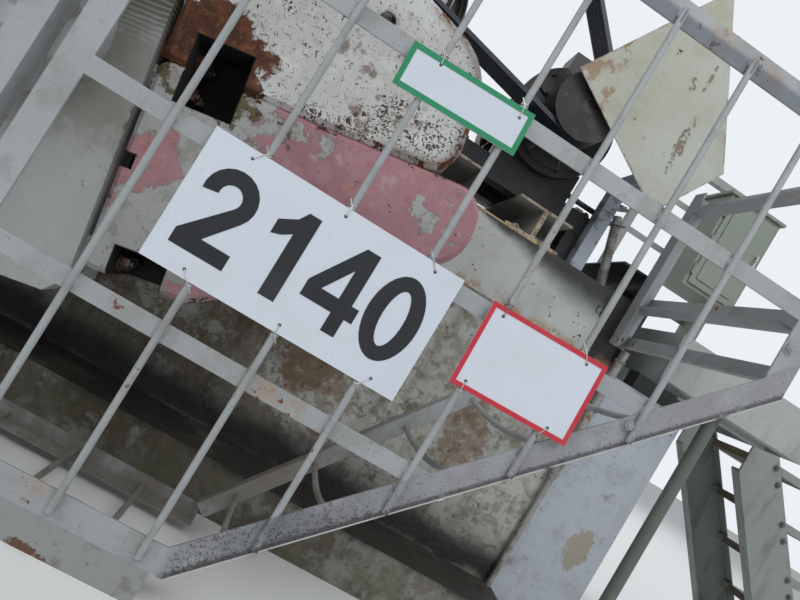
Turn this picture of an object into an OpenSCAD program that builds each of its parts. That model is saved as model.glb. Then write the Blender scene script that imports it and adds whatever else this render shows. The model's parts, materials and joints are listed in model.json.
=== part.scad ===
// Beam pumping unit on a concrete foundation, with its crank guard, drive and rear platform.
// X points to the well, Y to the side with the number plate, Z up. The origin lies on the ground
// under the walking beam's pivot. At rest the cranks hang at bottom dead centre.

/* [Linkage] */
// Height of the crankshaft above the ground
shaft_z = 2160; // [2120:10:2300]
// Distance of the crankshaft behind the walking beam's pivot
shaft_x = 2508; // [2450:1:2560]
// Height of the beam's pivot above the crankshaft
pivot_rise = 2970; // [2920:5:3020]
// Radius from the crankshaft to the crank pin in use
crank_r = 1200; // [1180:5:1220]
// Length of a pitman between its bearings
pitman_len = 3000; // [2960:5:3040]
// Lean of the cranks from the vertical at rest
crank_lean = 10; // [8:0.5:12]
// Radius of the horsehead's face about the pivot
head_arm = 3500; // [3350:10:3650]

/* [Foundation] */
// Half width of the slab at the ground
slab_half = 707; // [680:1:720]
// Height of the slab above the ground
slab_h = 160; // [120:5:180]
// Front end of the foundation, ahead of the pivot
slab_front = 1300; // [1250:10:1500]
// Half width of the pedestals and of the frame on them
pedestal_half = 460; // [430:5:480]
// Height of the pedestals' tops above the ground
pedestal_top = 1026; // [980:2:1060]
// Length of the front pedestal
front_pedestal_len = 2200; // [2100:10:2300]
// Length of the rear pedestal
rear_pedestal_len = 2900; // [2700:10:3000]
// Length of the block behind the rear pedestal
rear_block_len = 330; // [280:5:380]

/* [Frame] */
// Height of the frame's channels
frame_h = 255; // [220:5:280]
// Width of the frame's flanges
frame_flange = 100; // [80:5:120]
// Thickness of the frame's webs
frame_web = 10; // [8:1:14]
// Thickness of the frame's flanges
frame_tf = 15; // [12:1:20]
// Height of the cross members that carry the reducer and the motor
cross_h = 118; // [100:2:130]
// Width of a cross member
cross_w = 110; // [90:2:120]
// Thickness of the cross members' walls
cross_t = 9; // [7:1:12]

/* [Post] */
// Half spread of the post's legs across the frame, at the foot
leg_foot_y = 405; // [390:5:420]
// Distance of the front legs' feet ahead of the pivot
leg_foot_front = 950; // [850:10:1000]
// Distance of the rear legs' feet behind the pivot
leg_foot_rear = 620; // [560:10:680]
// Half spread of the legs at the head, across
leg_top_y = 210; // [190:5:230]
// Half spread of the legs at the head, along
leg_top_x = 130; // [110:5:150]
// Side of a leg's square tube
leg_size = 140; // [120:5:150]
// Thickness of the head plate and of the foot plates
post_plate = 30; // [20:2:40]
// Depth of the head plate's top below the pivot
head_drop = 230; // [200:5:260]

/* [Walking beam] */
// Depth of the walking beam
beam_h = 600; // [540:10:640]
// Width of the walking beam's flanges
beam_w = 320; // [280:5:340]
// Thickness of the walking beam's flanges
beam_tf = 26; // [20:1:32]
// Thickness of the walking beam's web
beam_tw = 16; // [12:1:20]
// Height of the beam's underside above its pivot
beam_rise = 190; // [175:5:210]
// Length of the beam behind its tail bearing
beam_overhang = 260; // [220:5:300]
// Distance of the beam's front end from the pivot
beam_front = 2900; // [2800:10:3000]
// Radius of the pivot shaft
pivot_shaft_r = 70; // [60:1:80]

/* [Horsehead] */
// Width of the horsehead
head_w = 400; // [360:10:440]
// Half angle that the horsehead's face spans
head_span = 31; // [29:0.5:32]
// Thickness of the horsehead's face
head_face_t = 28; // [20:1:36]
// Thickness of the horsehead's side plates
head_side_t = 12; // [10:1:16]
// Depth of the horsehead at its tips
head_tip = 190; // [160:5:240]

/* [Equalizer and pitmans] */
// Distance of a pitman from the middle plane
pitman_y = 1080; // [1075:1:1090]
// Radius of a pitman's tube
pitman_r = 70; // [60:1:76]
// Radius of a pitman's lower head
pitman_head_r = 200; // [185:5:215]
// Width of a pitman's lower head
pitman_head_w = 160; // [150:2:160]
// Depth of the equalizer's beam
equalizer_h = 300; // [260:5:340]
// Width of the equalizer's beam
equalizer_w = 220; // [190:5:250]
// Distance of the equalizer's beam below the tail bearing
equalizer_drop = 190; // [180:5:210]
// Radius of the tail pin
tail_pin_r = 60; // [50:1:70]

/* [Crank] */
// Length of a crank from the shaft to its outer end
crank_len = 1830; // [1800:5:1850]
// Half width of a crank
crank_half = 268; // [255:1:280]
// Thickness of a crank
crank_t = 210; // [190:5:215]
// Distance of a crank's inner face from the middle plane
crank_y = 710; // [705:1:720]
// Radius of the crank's hub
crank_hub_r = 300; // [285:5:310]
// Radius of the crankshaft
crankshaft_r = 105; // [90:1:115]
// Radius of the crank pins' holes
pin_hole_r = 55; // [48:1:60]
// Distance between the holes for shorter strokes
pin_pitch = 172; // [160:1:180]

/* [Counterweights] */
// Distance from the shaft to the joint between two weights
weight_joint = 1176; // [1165:1:1190]
// Length of a weight along the crank
weight_len = 560; // [530:5:575]
// Reach of the outer weight from the crank's middle line
outer_reach = 1199; // [1150:1:1200]
// Reach of the inner weight from the crank's middle line
inner_reach = 1088; // [1050:1:1110]
// Thickness of a weight
weight_t = 240; // [220:2:244]
// Gap between a weight and the edge of its crank
weight_gap = 22; // [16:1:26]
// Chamfer around a weight's faces
weight_chamfer = 14; // [8:1:18]
// Radius of a weight's lifting hole
lift_hole_r = 24; // [18:1:30]

/* [Reducer] */
// Distance between the reducer's input shaft and its output shaft
reducer_centres = 750; // [720:5:780]
// Half width of the reducer's housing
reducer_half = 400; // [380:5:410]
// Radius of the cover over the output gear
reducer_big_r = 470; // [440:5:490]
// Height of the cover over the input pinion
reducer_small_h = 250; // [220:5:270]
// Radius of the input shaft
input_r = 45; // [40:1:50]

/* [Belt drive] */
// Radius of the sheave
sheave_r = 400; // [380:5:420]
// Width of the sheave and of the motor's pulley
sheave_w = 130; // [120:2:136]
// Distance of the sheave's middle from the middle plane
sheave_y = 583; // [580:1:590]
// Radius of the motor's pulley
pulley_r = 115; // [100:5:125]
// Number of belts
belt_count = 5; // [4:1:5]
// Width of a belt
belt_w = 17; // [14:1:18]
// Height of a belt
belt_h = 14; // [12:1:15]
// Radius of the brake drum
brake_r = 300; // [280:5:320]
// Width of the brake drum
brake_w = 110; // [90:5:120]

/* [Motor] */
// Distance of the motor's shaft behind the crankshaft
motor_back = 1565; // [1550:5:1600]
// Height of the motor's shaft above the frame
motor_rise = 420; // [400:5:440]
// Radius of the motor's body
motor_r = 195; // [180:5:205]
// Length of the motor's body
motor_len = 560; // [520:10:600]
// Distance of the motor's drive end from the middle plane
motor_end_y = 455; // [440:5:460]

/* [Crank guard] */
// Distance of the guard's bars from the middle plane
guard_y = 1260; // [1255:1:1300]
// Width of a corner panel
guard_panel_w = 1733; // [1700:1:1760]
// Width of the middle panel
guard_middle_w = 794; // [760:1:820]
// Gap between two panels
guard_panel_gap = 45; // [30:1:60]
// Height of the guard's lower edge
guard_bottom = 78; // [70:1:90]
// Height of the guard's upper edge
guard_top = 1742; // [1700:2:1780]
// Width of a corner panel's lower edge, up to its cut corner
guard_corner_x = 722; // [700:1:740]
// Height where the cut corner meets the end post
guard_corner_z = 1096; // [1080:2:1110]
// Distance between two uprights
bar_pitch = 200; // [190:1:205]
// Distance from a panel's edge to its first upright
bar_first = 253; // [245:1:260]
// Radius of an upright
bar_r = 8; // [6:0.5:9]
// Height of the lowest cross flat
flat_first = 523; // [510:1:535]
// Distance between two cross flats
flat_pitch = 389; // [380:1:395]
// Width of a cross flat
flat_w = 42; // [38:1:50]
// Thickness of a cross flat
flat_t = 5; // [4:0.5:8]
// Leg of the guard's angle section
angle_w = 63; // [56:1:70]
// Thickness of the guard's angle section
angle_t = 6; // [5:0.5:8]
// Height of the lower end of the guard's end returns
return_foot = 1120; // [1100:2:1140]
// Distance of the inner lower rail behind the bars
inner_back = 430; // [420:5:440]

/* [Plates] */
// Width of the number plate
number_w = 600; // [560:5:620]
// Height of the number plate
number_h = 300; // [280:5:320]
// Distance of the number plate's middle from the panel's inner edge
number_x = 638; // [600:1:680]
// Height of the number plate's middle above the ground
number_z = 791; // [770:1:810]
// Width of the two small plates
small_w = 300; // [280:5:320]
// Height of the green-edged plate
green_h = 100; // [90:5:110]
// Distance of the green-edged plate's middle from the panel's inner edge
green_x = 736; // [700:1:780]
// Height of the green-edged plate's middle above the ground
green_z = 1268; // [1240:1:1290]
// Height of the red-edged plate
red_h = 200; // [190:5:210]
// Distance of the red-edged plate's middle from the panel's inner edge
red_x = 1169; // [1130:1:1200]
// Height of the red-edged plate's middle above the ground
red_z = 843; // [820:1:870]
// Thickness of the plates
plate_t = 3; // [2:0.5:5]

/* [Rear platform] */
// Half width of the platform
platform_half = 560; // [540:5:580]
// Length of the platform
platform_len = 635; // [600:5:680]
// Gap between the guard's end and the platform
platform_gap = 120; // [100:5:140]
// Depth of the platform's edge
platform_edge = 172; // [160:2:184]
// Width of the stair
stair_w = 450; // [420:5:480]
// Distance of the stair's middle from the middle plane
stair_y = 85; // [60:5:120]
// Number of the stair's treads
tread_count = 6; // [5:1:7]
// Slope of the stair
stair_slope = 51; // [48:1:54]
// Height of the railing above the platform
railing_h = 1050; // [1000:10:1100]

/* [Hidden] */
$fn = 48;

seat = 0.3;
play = 0.5;
open_pivot = 10;
cut = 1;

pivot_z = shaft_z + pivot_rise;
along = [-sin(crank_lean), -cos(crank_lean)];
tail_x = -shaft_x - (pitman_len - crank_r) * along[0];
tail_z = shaft_z - (pitman_len - crank_r) * along[1];
tail_arm = norm([tail_x, tail_z - pivot_z]);
beam_tilt = atan2(pivot_z - tail_z, -tail_x);

frame_top = pedestal_top + frame_h;
cross_top = frame_top + cross_h;
guard_end_x = shaft_x + guard_middle_w / 2 + guard_panel_gap + guard_panel_w;
slab_rear = guard_end_x + 15;
frame_front = slab_front - 100;
crank_out = crank_y + crank_t;
weight_mid_y = crank_y + crank_t / 2 + 2;
pin_end = pitman_y - pitman_head_w / 2 - open_pivot;
input_x = shaft_x + reducer_centres;
motor_x = shaft_x + motor_back;
motor_z = frame_top + motor_rise;
bar_y = guard_y + bar_r - 1;
plate_y = bar_y + bar_r + seat;
platform_x = guard_end_x + platform_gap;
platform_z = frame_top - 10;
steel = [0.60, 0.60, 0.57];
paint = [0.70, 0.71, 0.71];
concrete = [0.52, 0.50, 0.45];

// A flat shape in X and Z, as a plate between two values of Y.
module slab_y(y0, y1) {
    translate([0, y1, 0]) rotate([90, 0, 0]) linear_extrude(y1 - y0) children();
}

// The same on both sides of the middle plane.
module both_sides() {
    children();
    mirror([0, 1, 0]) children();
}

// The cranks' own axes: x away from the shaft's plane to the rear, y along the crank.
module in_crank_plate(y0, y1) {
    slab_y(y0, y1) translate([-shaft_x, shaft_z]) rotate(180 - crank_lean) children();
}

module in_crank(y) {
    translate([-shaft_x, y, shaft_z]) rotate([90, 0, 0]) rotate([0, 0, 180 - crank_lean]) children();
}

// The walking beam's own axes, with the origin at its pivot.
module in_beam() {
    translate([0, 0, pivot_z]) rotate([0, -beam_tilt, 0]) children();
}

module round_y(r, y0, y1) {
    translate([0, y1, 0]) rotate([90, 0, 0]) cylinder(r = r, h = y1 - y0);
}

// A square bar from one point to another.
module strut(a, b, w) {
    d = b - a;
    translate(a) rotate([0, atan2(norm([d[0], d[1]]), d[2]), atan2(d[1], d[0])])
        translate([-w / 2, -w / 2, 0]) cube([w, w, norm(d)]);
}

module rod(a, b, r) {
    d = b - a;
    translate(a) rotate([0, atan2(norm([d[0], d[1]]), d[2]), atan2(d[1], d[0])])
        cylinder(r = r, h = norm(d), $fn = 16);
}

// Foundation
module base_slab() {
    color(concrete) translate([-slab_rear, -slab_half, 0])
        cube([slab_rear + slab_front, 2 * slab_half, slab_h]);
}

module pedestals() {
    h = pedestal_top - slab_h;
    color(concrete) {
        translate([frame_front - front_pedestal_len, -pedestal_half, slab_h])
            cube([front_pedestal_len, 2 * pedestal_half, h]);
        translate([-slab_rear, -pedestal_half, slab_h])
            cube([rear_pedestal_len, 2 * pedestal_half, h]);
    }
}

module rear_block() {
    color([0.66, 0.68, 0.70]) translate([-slab_rear - rear_block_len, -pedestal_half, 0])
        cube([rear_block_len, 2 * pedestal_half, pedestal_top]);
}

// Frame
module frame_channel() {
    len = slab_rear + frame_front;
    translate([-slab_rear, pedestal_half - frame_web, pedestal_top]) cube([len, frame_web, frame_h]);
    for (z = [0, frame_h - frame_tf])
        translate([-slab_rear, pedestal_half - frame_flange, pedestal_top + z])
            cube([len, frame_flange, frame_tf]);
}

module frame_tie(x) {
    translate([x, -pedestal_half + frame_web - cut, pedestal_top + frame_tf])
        cube([frame_web, 2 * (pedestal_half - frame_web + cut), frame_h - 2 * frame_tf]);
}

module base_frame() {
    color(paint) {
        both_sides() frame_channel();
        for (x = [-slab_rear, -input_x - 420, -shaft_x + 480, -leg_foot_rear, leg_foot_front])
            frame_tie(x);
    }
}

module cross_member(x) {
    translate([x, -pedestal_half, frame_top]) {
        cube([cross_t, 2 * pedestal_half, cross_h]);
        cube([cross_w, 2 * pedestal_half, cross_t]);
        translate([0, 0, cross_h - cross_t]) cube([cross_w, 2 * pedestal_half, cross_t]);
    }
}

module cross_members() {
    color(steel) {
        for (x = [-input_x - 150, -input_x + 330, -shaft_x + 200]) cross_member(x);
        cross_member(-motor_x + 160);
        cross_member(-motor_x - 106);
        translate([2 * (-motor_x - 106), 0, 0]) mirror([1, 0, 0]) cross_member(-motor_x - 106);
    }
}

// Samson post
module leg_space() {
    translate([-3000, -3000, frame_top + post_plate])
        cube([6000, 6000, pivot_z - head_drop - frame_top - 2 * post_plate]);
}

module leg(front, side) {
    foot = [front > 0 ? leg_foot_front : -leg_foot_rear, side * leg_foot_y, frame_top - 100];
    top = [front * leg_top_x, side * leg_top_y, pivot_z - head_drop + 100];
    intersection() {
        strut(foot, top, leg_size);
        leg_space();
    }
}

module post_legs(front) {
    foot_x = front > 0 ? leg_foot_front : -leg_foot_rear;
    color(paint) both_sides() {
        leg(front, 1);
        translate([foot_x - 130, pedestal_half - 120, frame_top]) cube([260, 120, post_plate]);
    }
}

tie_levels = [1150, 2250];
tie_w = 80;

module post_ring(z) {
    f = (z - frame_top) / (pivot_z - head_drop - frame_top);
    x1 = leg_foot_front + f * (leg_top_x - leg_foot_front);
    x0 = -leg_foot_rear + f * (leg_foot_rear - leg_top_x);
    y = leg_foot_y + f * (leg_top_y - leg_foot_y);
    for (side = [-1, 1]) strut([x0, side * y, z], [x1, side * y, z], tie_w);
    for (x = [x0, x1]) strut([x, -y, z], [x, y, z], tie_w);
}

module post_ties() {
    color(paint) difference() {
        for (level = tie_levels) post_ring(frame_top + level);
        for (front = [-1, 1], side = [-1, 1]) leg(front, side);
    }
}

module post_head() {
    color(paint) translate([-260, -380, pivot_z - head_drop - post_plate]) cube([520, 760, post_plate]);
}

// Point of the ladder's middle line at a height, kept parallel to the front legs.
ladder_off = 150;
function ladder_x(z) = leg_foot_front + ladder_off
    + (z - frame_top) * (leg_top_x - leg_foot_front) / (pivot_z - head_drop - frame_top);

module post_ladder() {
    half = 200;
    z0 = pedestal_top + seat;
    z1 = pivot_z - head_drop - post_plate - 60;
    rungs = floor((z1 - z0) / 300);
    color(paint) {
        intersection() {
            for (side = [-1, 1])
                strut([ladder_x(z0 - 50), side * half, z0 - 50], [ladder_x(z1), side * half, z1], 40);
            translate([0, -500, z0]) cube([2000, 1000, 5000]);
        }
        for (i = [1:rungs]) {
            z = z0 + i * (z1 - z0) / (rungs + 1);
            rod([ladder_x(z), -half, z], [ladder_x(z), half, z], 12);
        }
        for (level = tie_levels, side = [-1, 1]) {
            z = frame_top + level;
            translate([ladder_x(z) - ladder_off + tie_w / 2 + seat, side * half - 15, z - 15])
                cube([ladder_off - tie_w / 2, 30, 30]);
        }
    }
}

module saddle_bearing() {
    color(paint) both_sides() difference() {
        union() {
            slab_y(205, 325) {
                translate([0, pivot_z]) circle(r = 140);
                translate([-140, pivot_z - head_drop]) square([280, head_drop]);
            }
            translate([-220, 205, pivot_z - head_drop]) cube([440, 120, 45]);
        }
        translate([0, 0, pivot_z]) round_y(pivot_shaft_r + play, 200, 330);
    }
}

// Walking beam
module walking_beam() {
    back = tail_arm + beam_overhang;
    len = back + beam_front;
    color(paint) in_beam() {
        translate([-back, -beam_tw / 2, beam_rise]) cube([len, beam_tw, beam_h]);
        for (z = [0, beam_h - beam_tf])
            translate([-back, -beam_w / 2, beam_rise + z]) cube([len, beam_w, beam_tf]);
        for (x = [-back, -tail_arm - 130, -tail_arm + 115, -200, 185, beam_front - 420, beam_front - 15])
            translate([x, -beam_w / 2 + 10, beam_rise]) cube([15, beam_w - 20, beam_h]);
        difference() {
            translate([-190, -180, -100]) cube([380, 360, beam_rise + 100]);
            for (side = [-1, 1])
                translate([side * 290, 0, -100]) rotate([0, side * 24, 0])
                    cube([200, 400, 560], center = true);
        }
        round_y(pivot_shaft_r, -345, 345);
    }
}

// Horsehead, in the beam's axes
head_low = beam_rise - 60;
head_high = beam_rise + beam_h + 60;
tip_r = head_arm - head_tip;
tip_x = tip_r * cos(head_span);
tip_z = tip_r * sin(head_span);

module head_side() {
    far = head_arm + 200;
    intersection() {
        circle(r = head_arm - head_face_t / 2);
        polygon([[beam_front, head_high], [tip_x, tip_z], [far, far * sin(head_span)],
                 [far, -far * sin(head_span)], [tip_x, -tip_z], [beam_front, head_low]]);
    }
}

module head_back() {
    t = 16;
    polygon([[beam_front, head_high], [tip_x, tip_z], [tip_x + t, tip_z], [beam_front + t, head_high]]);
    polygon([[beam_front, head_low], [tip_x, -tip_z], [tip_x + t, -tip_z], [beam_front + t, head_low]]);
    translate([beam_front, head_low]) square([t, head_high - head_low]);
    for (side = [-1, 1]) translate([tip_x, side * (tip_z - t / 2) - t / 2]) square([head_tip - 30, t]);
}

module horsehead() {
    inner = head_w / 2 - 60;
    color(paint) in_beam() {
        both_sides() slab_y(inner - head_side_t, inner) head_side();
        rotate([90, 0, 0]) rotate([0, 0, -head_span]) rotate_extrude(angle = 2 * head_span, $fn = 180)
            translate([head_arm - head_face_t, -head_w / 2]) square([head_face_t, head_w]);
        slab_y(-inner + head_side_t / 2, inner - head_side_t / 2) head_back();
        for (z = [-900, -300, 300, 900])
            translate([beam_front + 260, -inner + head_side_t / 2, z])
                cube([head_arm - beam_front - 460, 2 * inner - head_side_t, 12]);
    }
}

module tail_bearing() {
    color(paint) in_beam() difference() {
        slab_y(-170, 170) translate([-tail_arm, 0]) {
            circle(r = 135);
            translate([-135, 0]) square([270, beam_rise]);
            translate([-190, beam_rise - 40]) square([380, 40]);
        }
        translate([-tail_arm, 0, 0]) round_y(tail_pin_r + play, -171, 171);
    }
}

// Equalizer and pitmans, in the cranks' axes
tail_t = crank_r - pitman_len;
equalizer_t = tail_t + equalizer_drop;
pitman_t = equalizer_t + equalizer_h;

module equalizer() {
    half = pitman_y + pitman_head_w / 2;
    color(paint) {
        in_crank_plate(-half, half) translate([-equalizer_w / 2, equalizer_t])
            square([equalizer_w, equalizer_h]);
        both_sides() in_crank_plate(185, 240) {
            translate([0, tail_t]) circle(r = 105);
            translate([-105, tail_t]) square([210, equalizer_drop + 1]);
        }
        in_crank_plate(-240, 240) translate([0, tail_t]) circle(r = tail_pin_r);
        for (y = [-half, -700, -200, 185, 685, half - 15])
            in_crank_plate(y, y + 15) translate([-equalizer_w / 2 - 25, equalizer_t])
                square([equalizer_w + 50, equalizer_h]);
    }
}

module pitman() {
    inner = pitman_y - pitman_head_w / 2;
    outer = pitman_y + pitman_head_w / 2;
    color(paint) difference() {
        union() {
            in_crank_plate(inner, outer) {
                translate([-equalizer_w / 2 - 25, pitman_t]) square([equalizer_w + 50, 30]);
                translate([0, crank_r]) circle(r = pitman_head_r);
            }
            in_crank_plate(pitman_y - 12, pitman_y + 12)
                polygon([[-110, pitman_t + 20], [110, pitman_t + 20], [pitman_r, pitman_t + 330],
                         [-pitman_r, pitman_t + 330]]);
            in_crank_plate(pitman_y - 45, pitman_y + 45)
                polygon([[-pitman_r - 10, crank_r - 480], [pitman_r + 10, crank_r - 480],
                         [pitman_head_r - 30, crank_r - 110], [-pitman_head_r + 30, crank_r - 110]]);
            in_crank(pitman_y) translate([0, pitman_t + 20, 0]) rotate([-90, 0, 0])
                cylinder(r = pitman_r, h = crank_r - pitman_t - 120);
        }
        in_crank_plate(inner - cut, outer - 45) translate([0, crank_r]) circle(r = 92);
    }
}

// Cranks
module crankshaft() {
    color(steel) translate([-shaft_x, 0, shaft_z]) round_y(crankshaft_r, -crank_out - 45, crank_out + 45);
}

module crank_outline() {
    corner = 45;
    circle(r = crank_hub_r);
    polygon([[-crank_half, 0], [crank_half, 0], [crank_half, crank_len - corner],
             [crank_half - corner, crank_len], [-crank_half + corner, crank_len],
             [-crank_half, crank_len - corner]]);
}

module crank_slots() {
    mid = crank_y + crank_t / 2;
    for (side = [-1, 1]) {
        in_crank_plate(mid - 18, mid + 18) translate([side * crank_half, 900])
            square([110, 2000], center = true);
        in_crank_plate(mid - 36, mid + 36) translate([side * (crank_half - 70), 900])
            square([34, 2000], center = true);
    }
}

module crank() {
    color([0.62, 0.61, 0.57]) difference() {
        union() {
            in_crank_plate(crank_y, crank_out) crank_outline();
            in_crank_plate(crank_y - 60, crank_out + 40) circle(r = 190);
        }
        difference() {
            crank_slots();
            in_crank_plate(crank_y, crank_out) square(2 * (crank_hub_r - 10), center = true);
        }
        in_crank_plate(crank_y - 61, crank_out + 41) circle(r = crankshaft_r + seat);
        in_crank_plate(crank_y - 1, crank_out + 1) for (i = [0:3])
            translate([0, crank_r - i * pin_pitch]) circle(r = pin_hole_r);
    }
}

module crank_pins() {
    color(steel) both_sides() {
        in_crank_plate(crank_y - 40, crank_out + 20) translate([0, crank_r]) circle(r = pin_hole_r - seat);
        in_crank_plate(crank_y - 40, crank_y - seat) translate([0, crank_r]) circle(r = 84, $fn = 6);
        in_crank_plate(crank_out + seat, crank_out + 34) translate([0, crank_r]) circle(r = 96);
        in_crank_plate(crank_out + seat, pin_end) translate([0, crank_r]) circle(r = 62);
    }
}

// Counterweights, in the cranks' axes. x is the distance from the crank's middle line and
// y the distance from the joint between two weights.
weight_in = crank_half + weight_gap;

module weight_slab(reach, shoulder, c) {
    h = weight_t - 2 * (weight_chamfer - c);
    bend = min(190, shoulder);
    for (p = [[weight_in + 30, 30, 30], [reach - 85, 85, 85], [reach - bend, shoulder, bend],
              [weight_in + 260, weight_len - 62, 62], [weight_in + 30, weight_len - 30, 30]])
        translate([p[0], p[1], -h / 2]) cylinder(r = p[2] - c, h = h, $fn = 32);
}

module weight(reach, shoulder) {
    lug = 65;
    difference() {
        hull() {
            weight_slab(reach, shoulder, 0);
            weight_slab(reach, shoulder, weight_chamfer);
        }
        translate([weight_in + lug, -cut, -weight_t / 2 - cut]) cube([150, 92, weight_t + 2 * cut]);
        translate([weight_in + lug, weight_len - 78, -weight_t / 2 - cut])
            cube([135, 100, weight_t + 2 * cut]);
        translate([weight_in - cut, 250, -weight_t / 2 - cut]) cube([34, 42, weight_t + 2 * cut]);
        translate([reach - 310, 316, -weight_t / 2 - cut]) cylinder(r = lift_hole_r, h = weight_t + 2 * cut);
    }
    for (y = [12, weight_len - 76])
        translate([crank_half + seat, y, -70]) cube([weight_gap + 2, 62, 140]);
}

// run: 1 for the four outer weights, -1 for the four inner ones
module weights(run) {
    both_sides() in_crank(weight_mid_y) for (edge = [0, 1])
        mirror([edge, 0, 0]) translate([0, weight_joint + run * seat / 2, 0])
            mirror([0, run < 0 ? 1 : 0, 0])
                weight(run > 0 ? outer_reach : inner_reach, run > 0 ? 120 : 200);
}

module inner_weights() {
    color([0.74, 0.73, 0.71]) weights(-1);
}

module outer_weights() {
    color([0.62, 0.40, 0.42]) weights(1);
}

// Reducer, with its input shaft
module reducer_cover() {
    intersection() {
        translate([-shaft_x, shaft_z]) circle(r = reducer_big_r);
        translate([-shaft_x - 600, shaft_z]) square([1200, 600]);
    }
    polygon([[-input_x - 200, shaft_z], [-input_x - 200, shaft_z + reducer_small_h - 70],
             [-input_x - 130, shaft_z + reducer_small_h], [-shaft_x - 430, shaft_z + reducer_small_h + 60],
             [-shaft_x - 150, shaft_z + reducer_big_r - 30], [-shaft_x, shaft_z]]);
}

module gear_reducer() {
    x0 = -input_x - 230;
    x1 = -shaft_x + 500;
    body = reducer_half - 40;
    color([0.45, 0.47, 0.46]) {
        difference() {
            union() {
                translate([x0, -reducer_half, cross_top]) cube([x1 - x0, 2 * reducer_half, 35]);
                translate([x0 + 20, -body, cross_top]) cube([x1 - x0 - 40, 2 * body, shaft_z - cross_top]);
                translate([x0, -reducer_half, shaft_z - 28]) cube([x1 - x0, 2 * reducer_half, 56]);
                slab_y(-body, body) reducer_cover();
                for (x = [x0 + 90, x0 + 470, x0 + 700, x1 - 110], side = [-1, 1])
                    translate([x, side > 0 ? 0 : -reducer_half + 5, cross_top])
                        cube([22, reducer_half - 5, shaft_z - cross_top]);
                translate([-shaft_x, 0, shaft_z]) round_y(175, -reducer_half - 35, reducer_half + 35);
                translate([-shaft_x - 420, 0, shaft_z]) round_y(120, -reducer_half - 18, reducer_half + 18);
                translate([-input_x, 0, shaft_z]) round_y(95, -reducer_half - 25, reducer_half + 25);
                translate([-shaft_x - 330, -90, shaft_z + reducer_small_h + 60]) cube([200, 180, 120]);
            }
            translate([-shaft_x, 0, shaft_z])
                round_y(crankshaft_r + play, -reducer_half - 40, reducer_half + 40);
        }
        translate([-input_x, 0, shaft_z]) round_y(input_r, reducer_half, sheave_y + sheave_w / 2 + 5);
        translate([-input_x, 0, shaft_z]) round_y(input_r, -reducer_half - 220, -reducer_half);
    }
}

// Belt drive
belt_pitch = 23;
groove_w = belt_w + 1;

module grooved_rim(r, bore, w) {
    difference() {
        translate([bore, -w / 2]) square([r - bore, w]);
        for (i = [0:belt_count - 1])
            translate([r - belt_h, (i - (belt_count - 1) / 2) * belt_pitch - groove_w / 2])
                square([belt_h + 1, groove_w]);
    }
}

module sheave() {
    hub = 85;
    color(steel) translate([-input_x, sheave_y, shaft_z]) rotate([90, 0, 0]) {
        rotate_extrude() {
            grooved_rim(sheave_r, sheave_r - 45, sheave_w);
            translate([input_r + seat, -sheave_w / 2]) square([hub - input_r, sheave_w]);
        }
        for (a = [0:60:300]) rotate(a) translate([hub - 10, -32, -14]) cube([sheave_r - hub - 20, 64, 28]);
    }
}

module motor_pulley() {
    color(steel) translate([-motor_x, sheave_y, motor_z]) rotate([90, 0, 0])
        rotate_extrude() grooved_rim(pulley_r, 24 + seat, sheave_w);
}

// The band between two circles and their outer tangents.
module tangent_shape(a, ra, b, rb) {
    d = b - a;
    dist = norm(d);
    dir = atan2(d[1], d[0]);
    open = acos((ra - rb) / dist);
    translate(a) circle(r = ra);
    translate(b) circle(r = rb);
    polygon([a + ra * [cos(dir + open), sin(dir + open)], b + rb * [cos(dir + open), sin(dir + open)],
             b + rb * [cos(dir - open), sin(dir - open)], a + ra * [cos(dir - open), sin(dir - open)]]);
}

module v_belts() {
    a = [-input_x, shaft_z];
    b = [-motor_x, motor_z];
    color([0.10, 0.10, 0.11]) for (i = [0:belt_count - 1]) {
        y = sheave_y + (i - (belt_count - 1) / 2) * belt_pitch;
        slab_y(y - belt_w / 2, y + belt_w / 2) difference() {
            tangent_shape(a, sheave_r + seat, b, pulley_r + seat);
            tangent_shape(a, sheave_r - belt_h + seat, b, pulley_r - belt_h + seat);
        }
    }
}

module brake_drum() {
    y1 = -reducer_half - 60;
    color(steel) translate([-input_x, y1 - brake_w / 2, shaft_z]) rotate([90, 0, 0]) {
        rotate_extrude() {
            translate([brake_r - 18, -brake_w / 2]) square([18, brake_w]);
            translate([input_r + seat, -10]) square([brake_r - input_r - 5, 20]);
            translate([input_r + seat, -brake_w / 2]) square([45, brake_w]);
        }
    }
}

// Motor
motor_foot = 225;

module motor() {
    fins = 32;
    color([0.14, 0.14, 0.15]) {
        translate([-motor_x, 0, motor_z]) {
            round_y(motor_r - 25, motor_end_y - motor_len, motor_end_y - 20);
            round_y(motor_r, motor_end_y - 75, motor_end_y - 30);
            round_y(95, motor_end_y - 40, motor_end_y);
            round_y(24, motor_end_y - 40, sheave_y + sheave_w / 2);
            round_y(motor_r - 2, motor_end_y - motor_len - 20, motor_end_y - motor_len + 90);
            for (i = [0:fins - 1]) rotate([0, i * 360 / fins, 0])
                translate([motor_r - 40, motor_end_y - motor_len + 80, -3])
                    cube([35, motor_len - 150, 6]);
        }
        for (y = [motor_end_y - 420, motor_end_y - 130])
            translate([-motor_x - 165, y, motor_z - motor_foot]) cube([330, 60, 110]);
        translate([-motor_x - 80, motor_end_y - 200, motor_z + motor_r - 20]) cube([160, 130, 90]);
    }
}

module motor_base() {
    color([0.17, 0.17, 0.17]) {
        for (y = [motor_end_y - 430, motor_end_y - 140])
            translate([-motor_x - 330, y, cross_top]) cube([660, 80, motor_z - motor_foot - cross_top]);
        translate([-motor_x - 330, motor_end_y - 430, cross_top]) cube([25, 370, 40]);
        translate([-motor_x + 305, motor_end_y - 430, cross_top]) cube([25, 370, 40]);
    }
}

// End plate of the belt guard: points are measured back from the motor's shaft, and up.
belt_plate = [[-99, 74], [205, 578], [494, 56], [374, -144], [297, -151]];
plate_side = sheave_y + sheave_w / 2 + 20;

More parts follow.
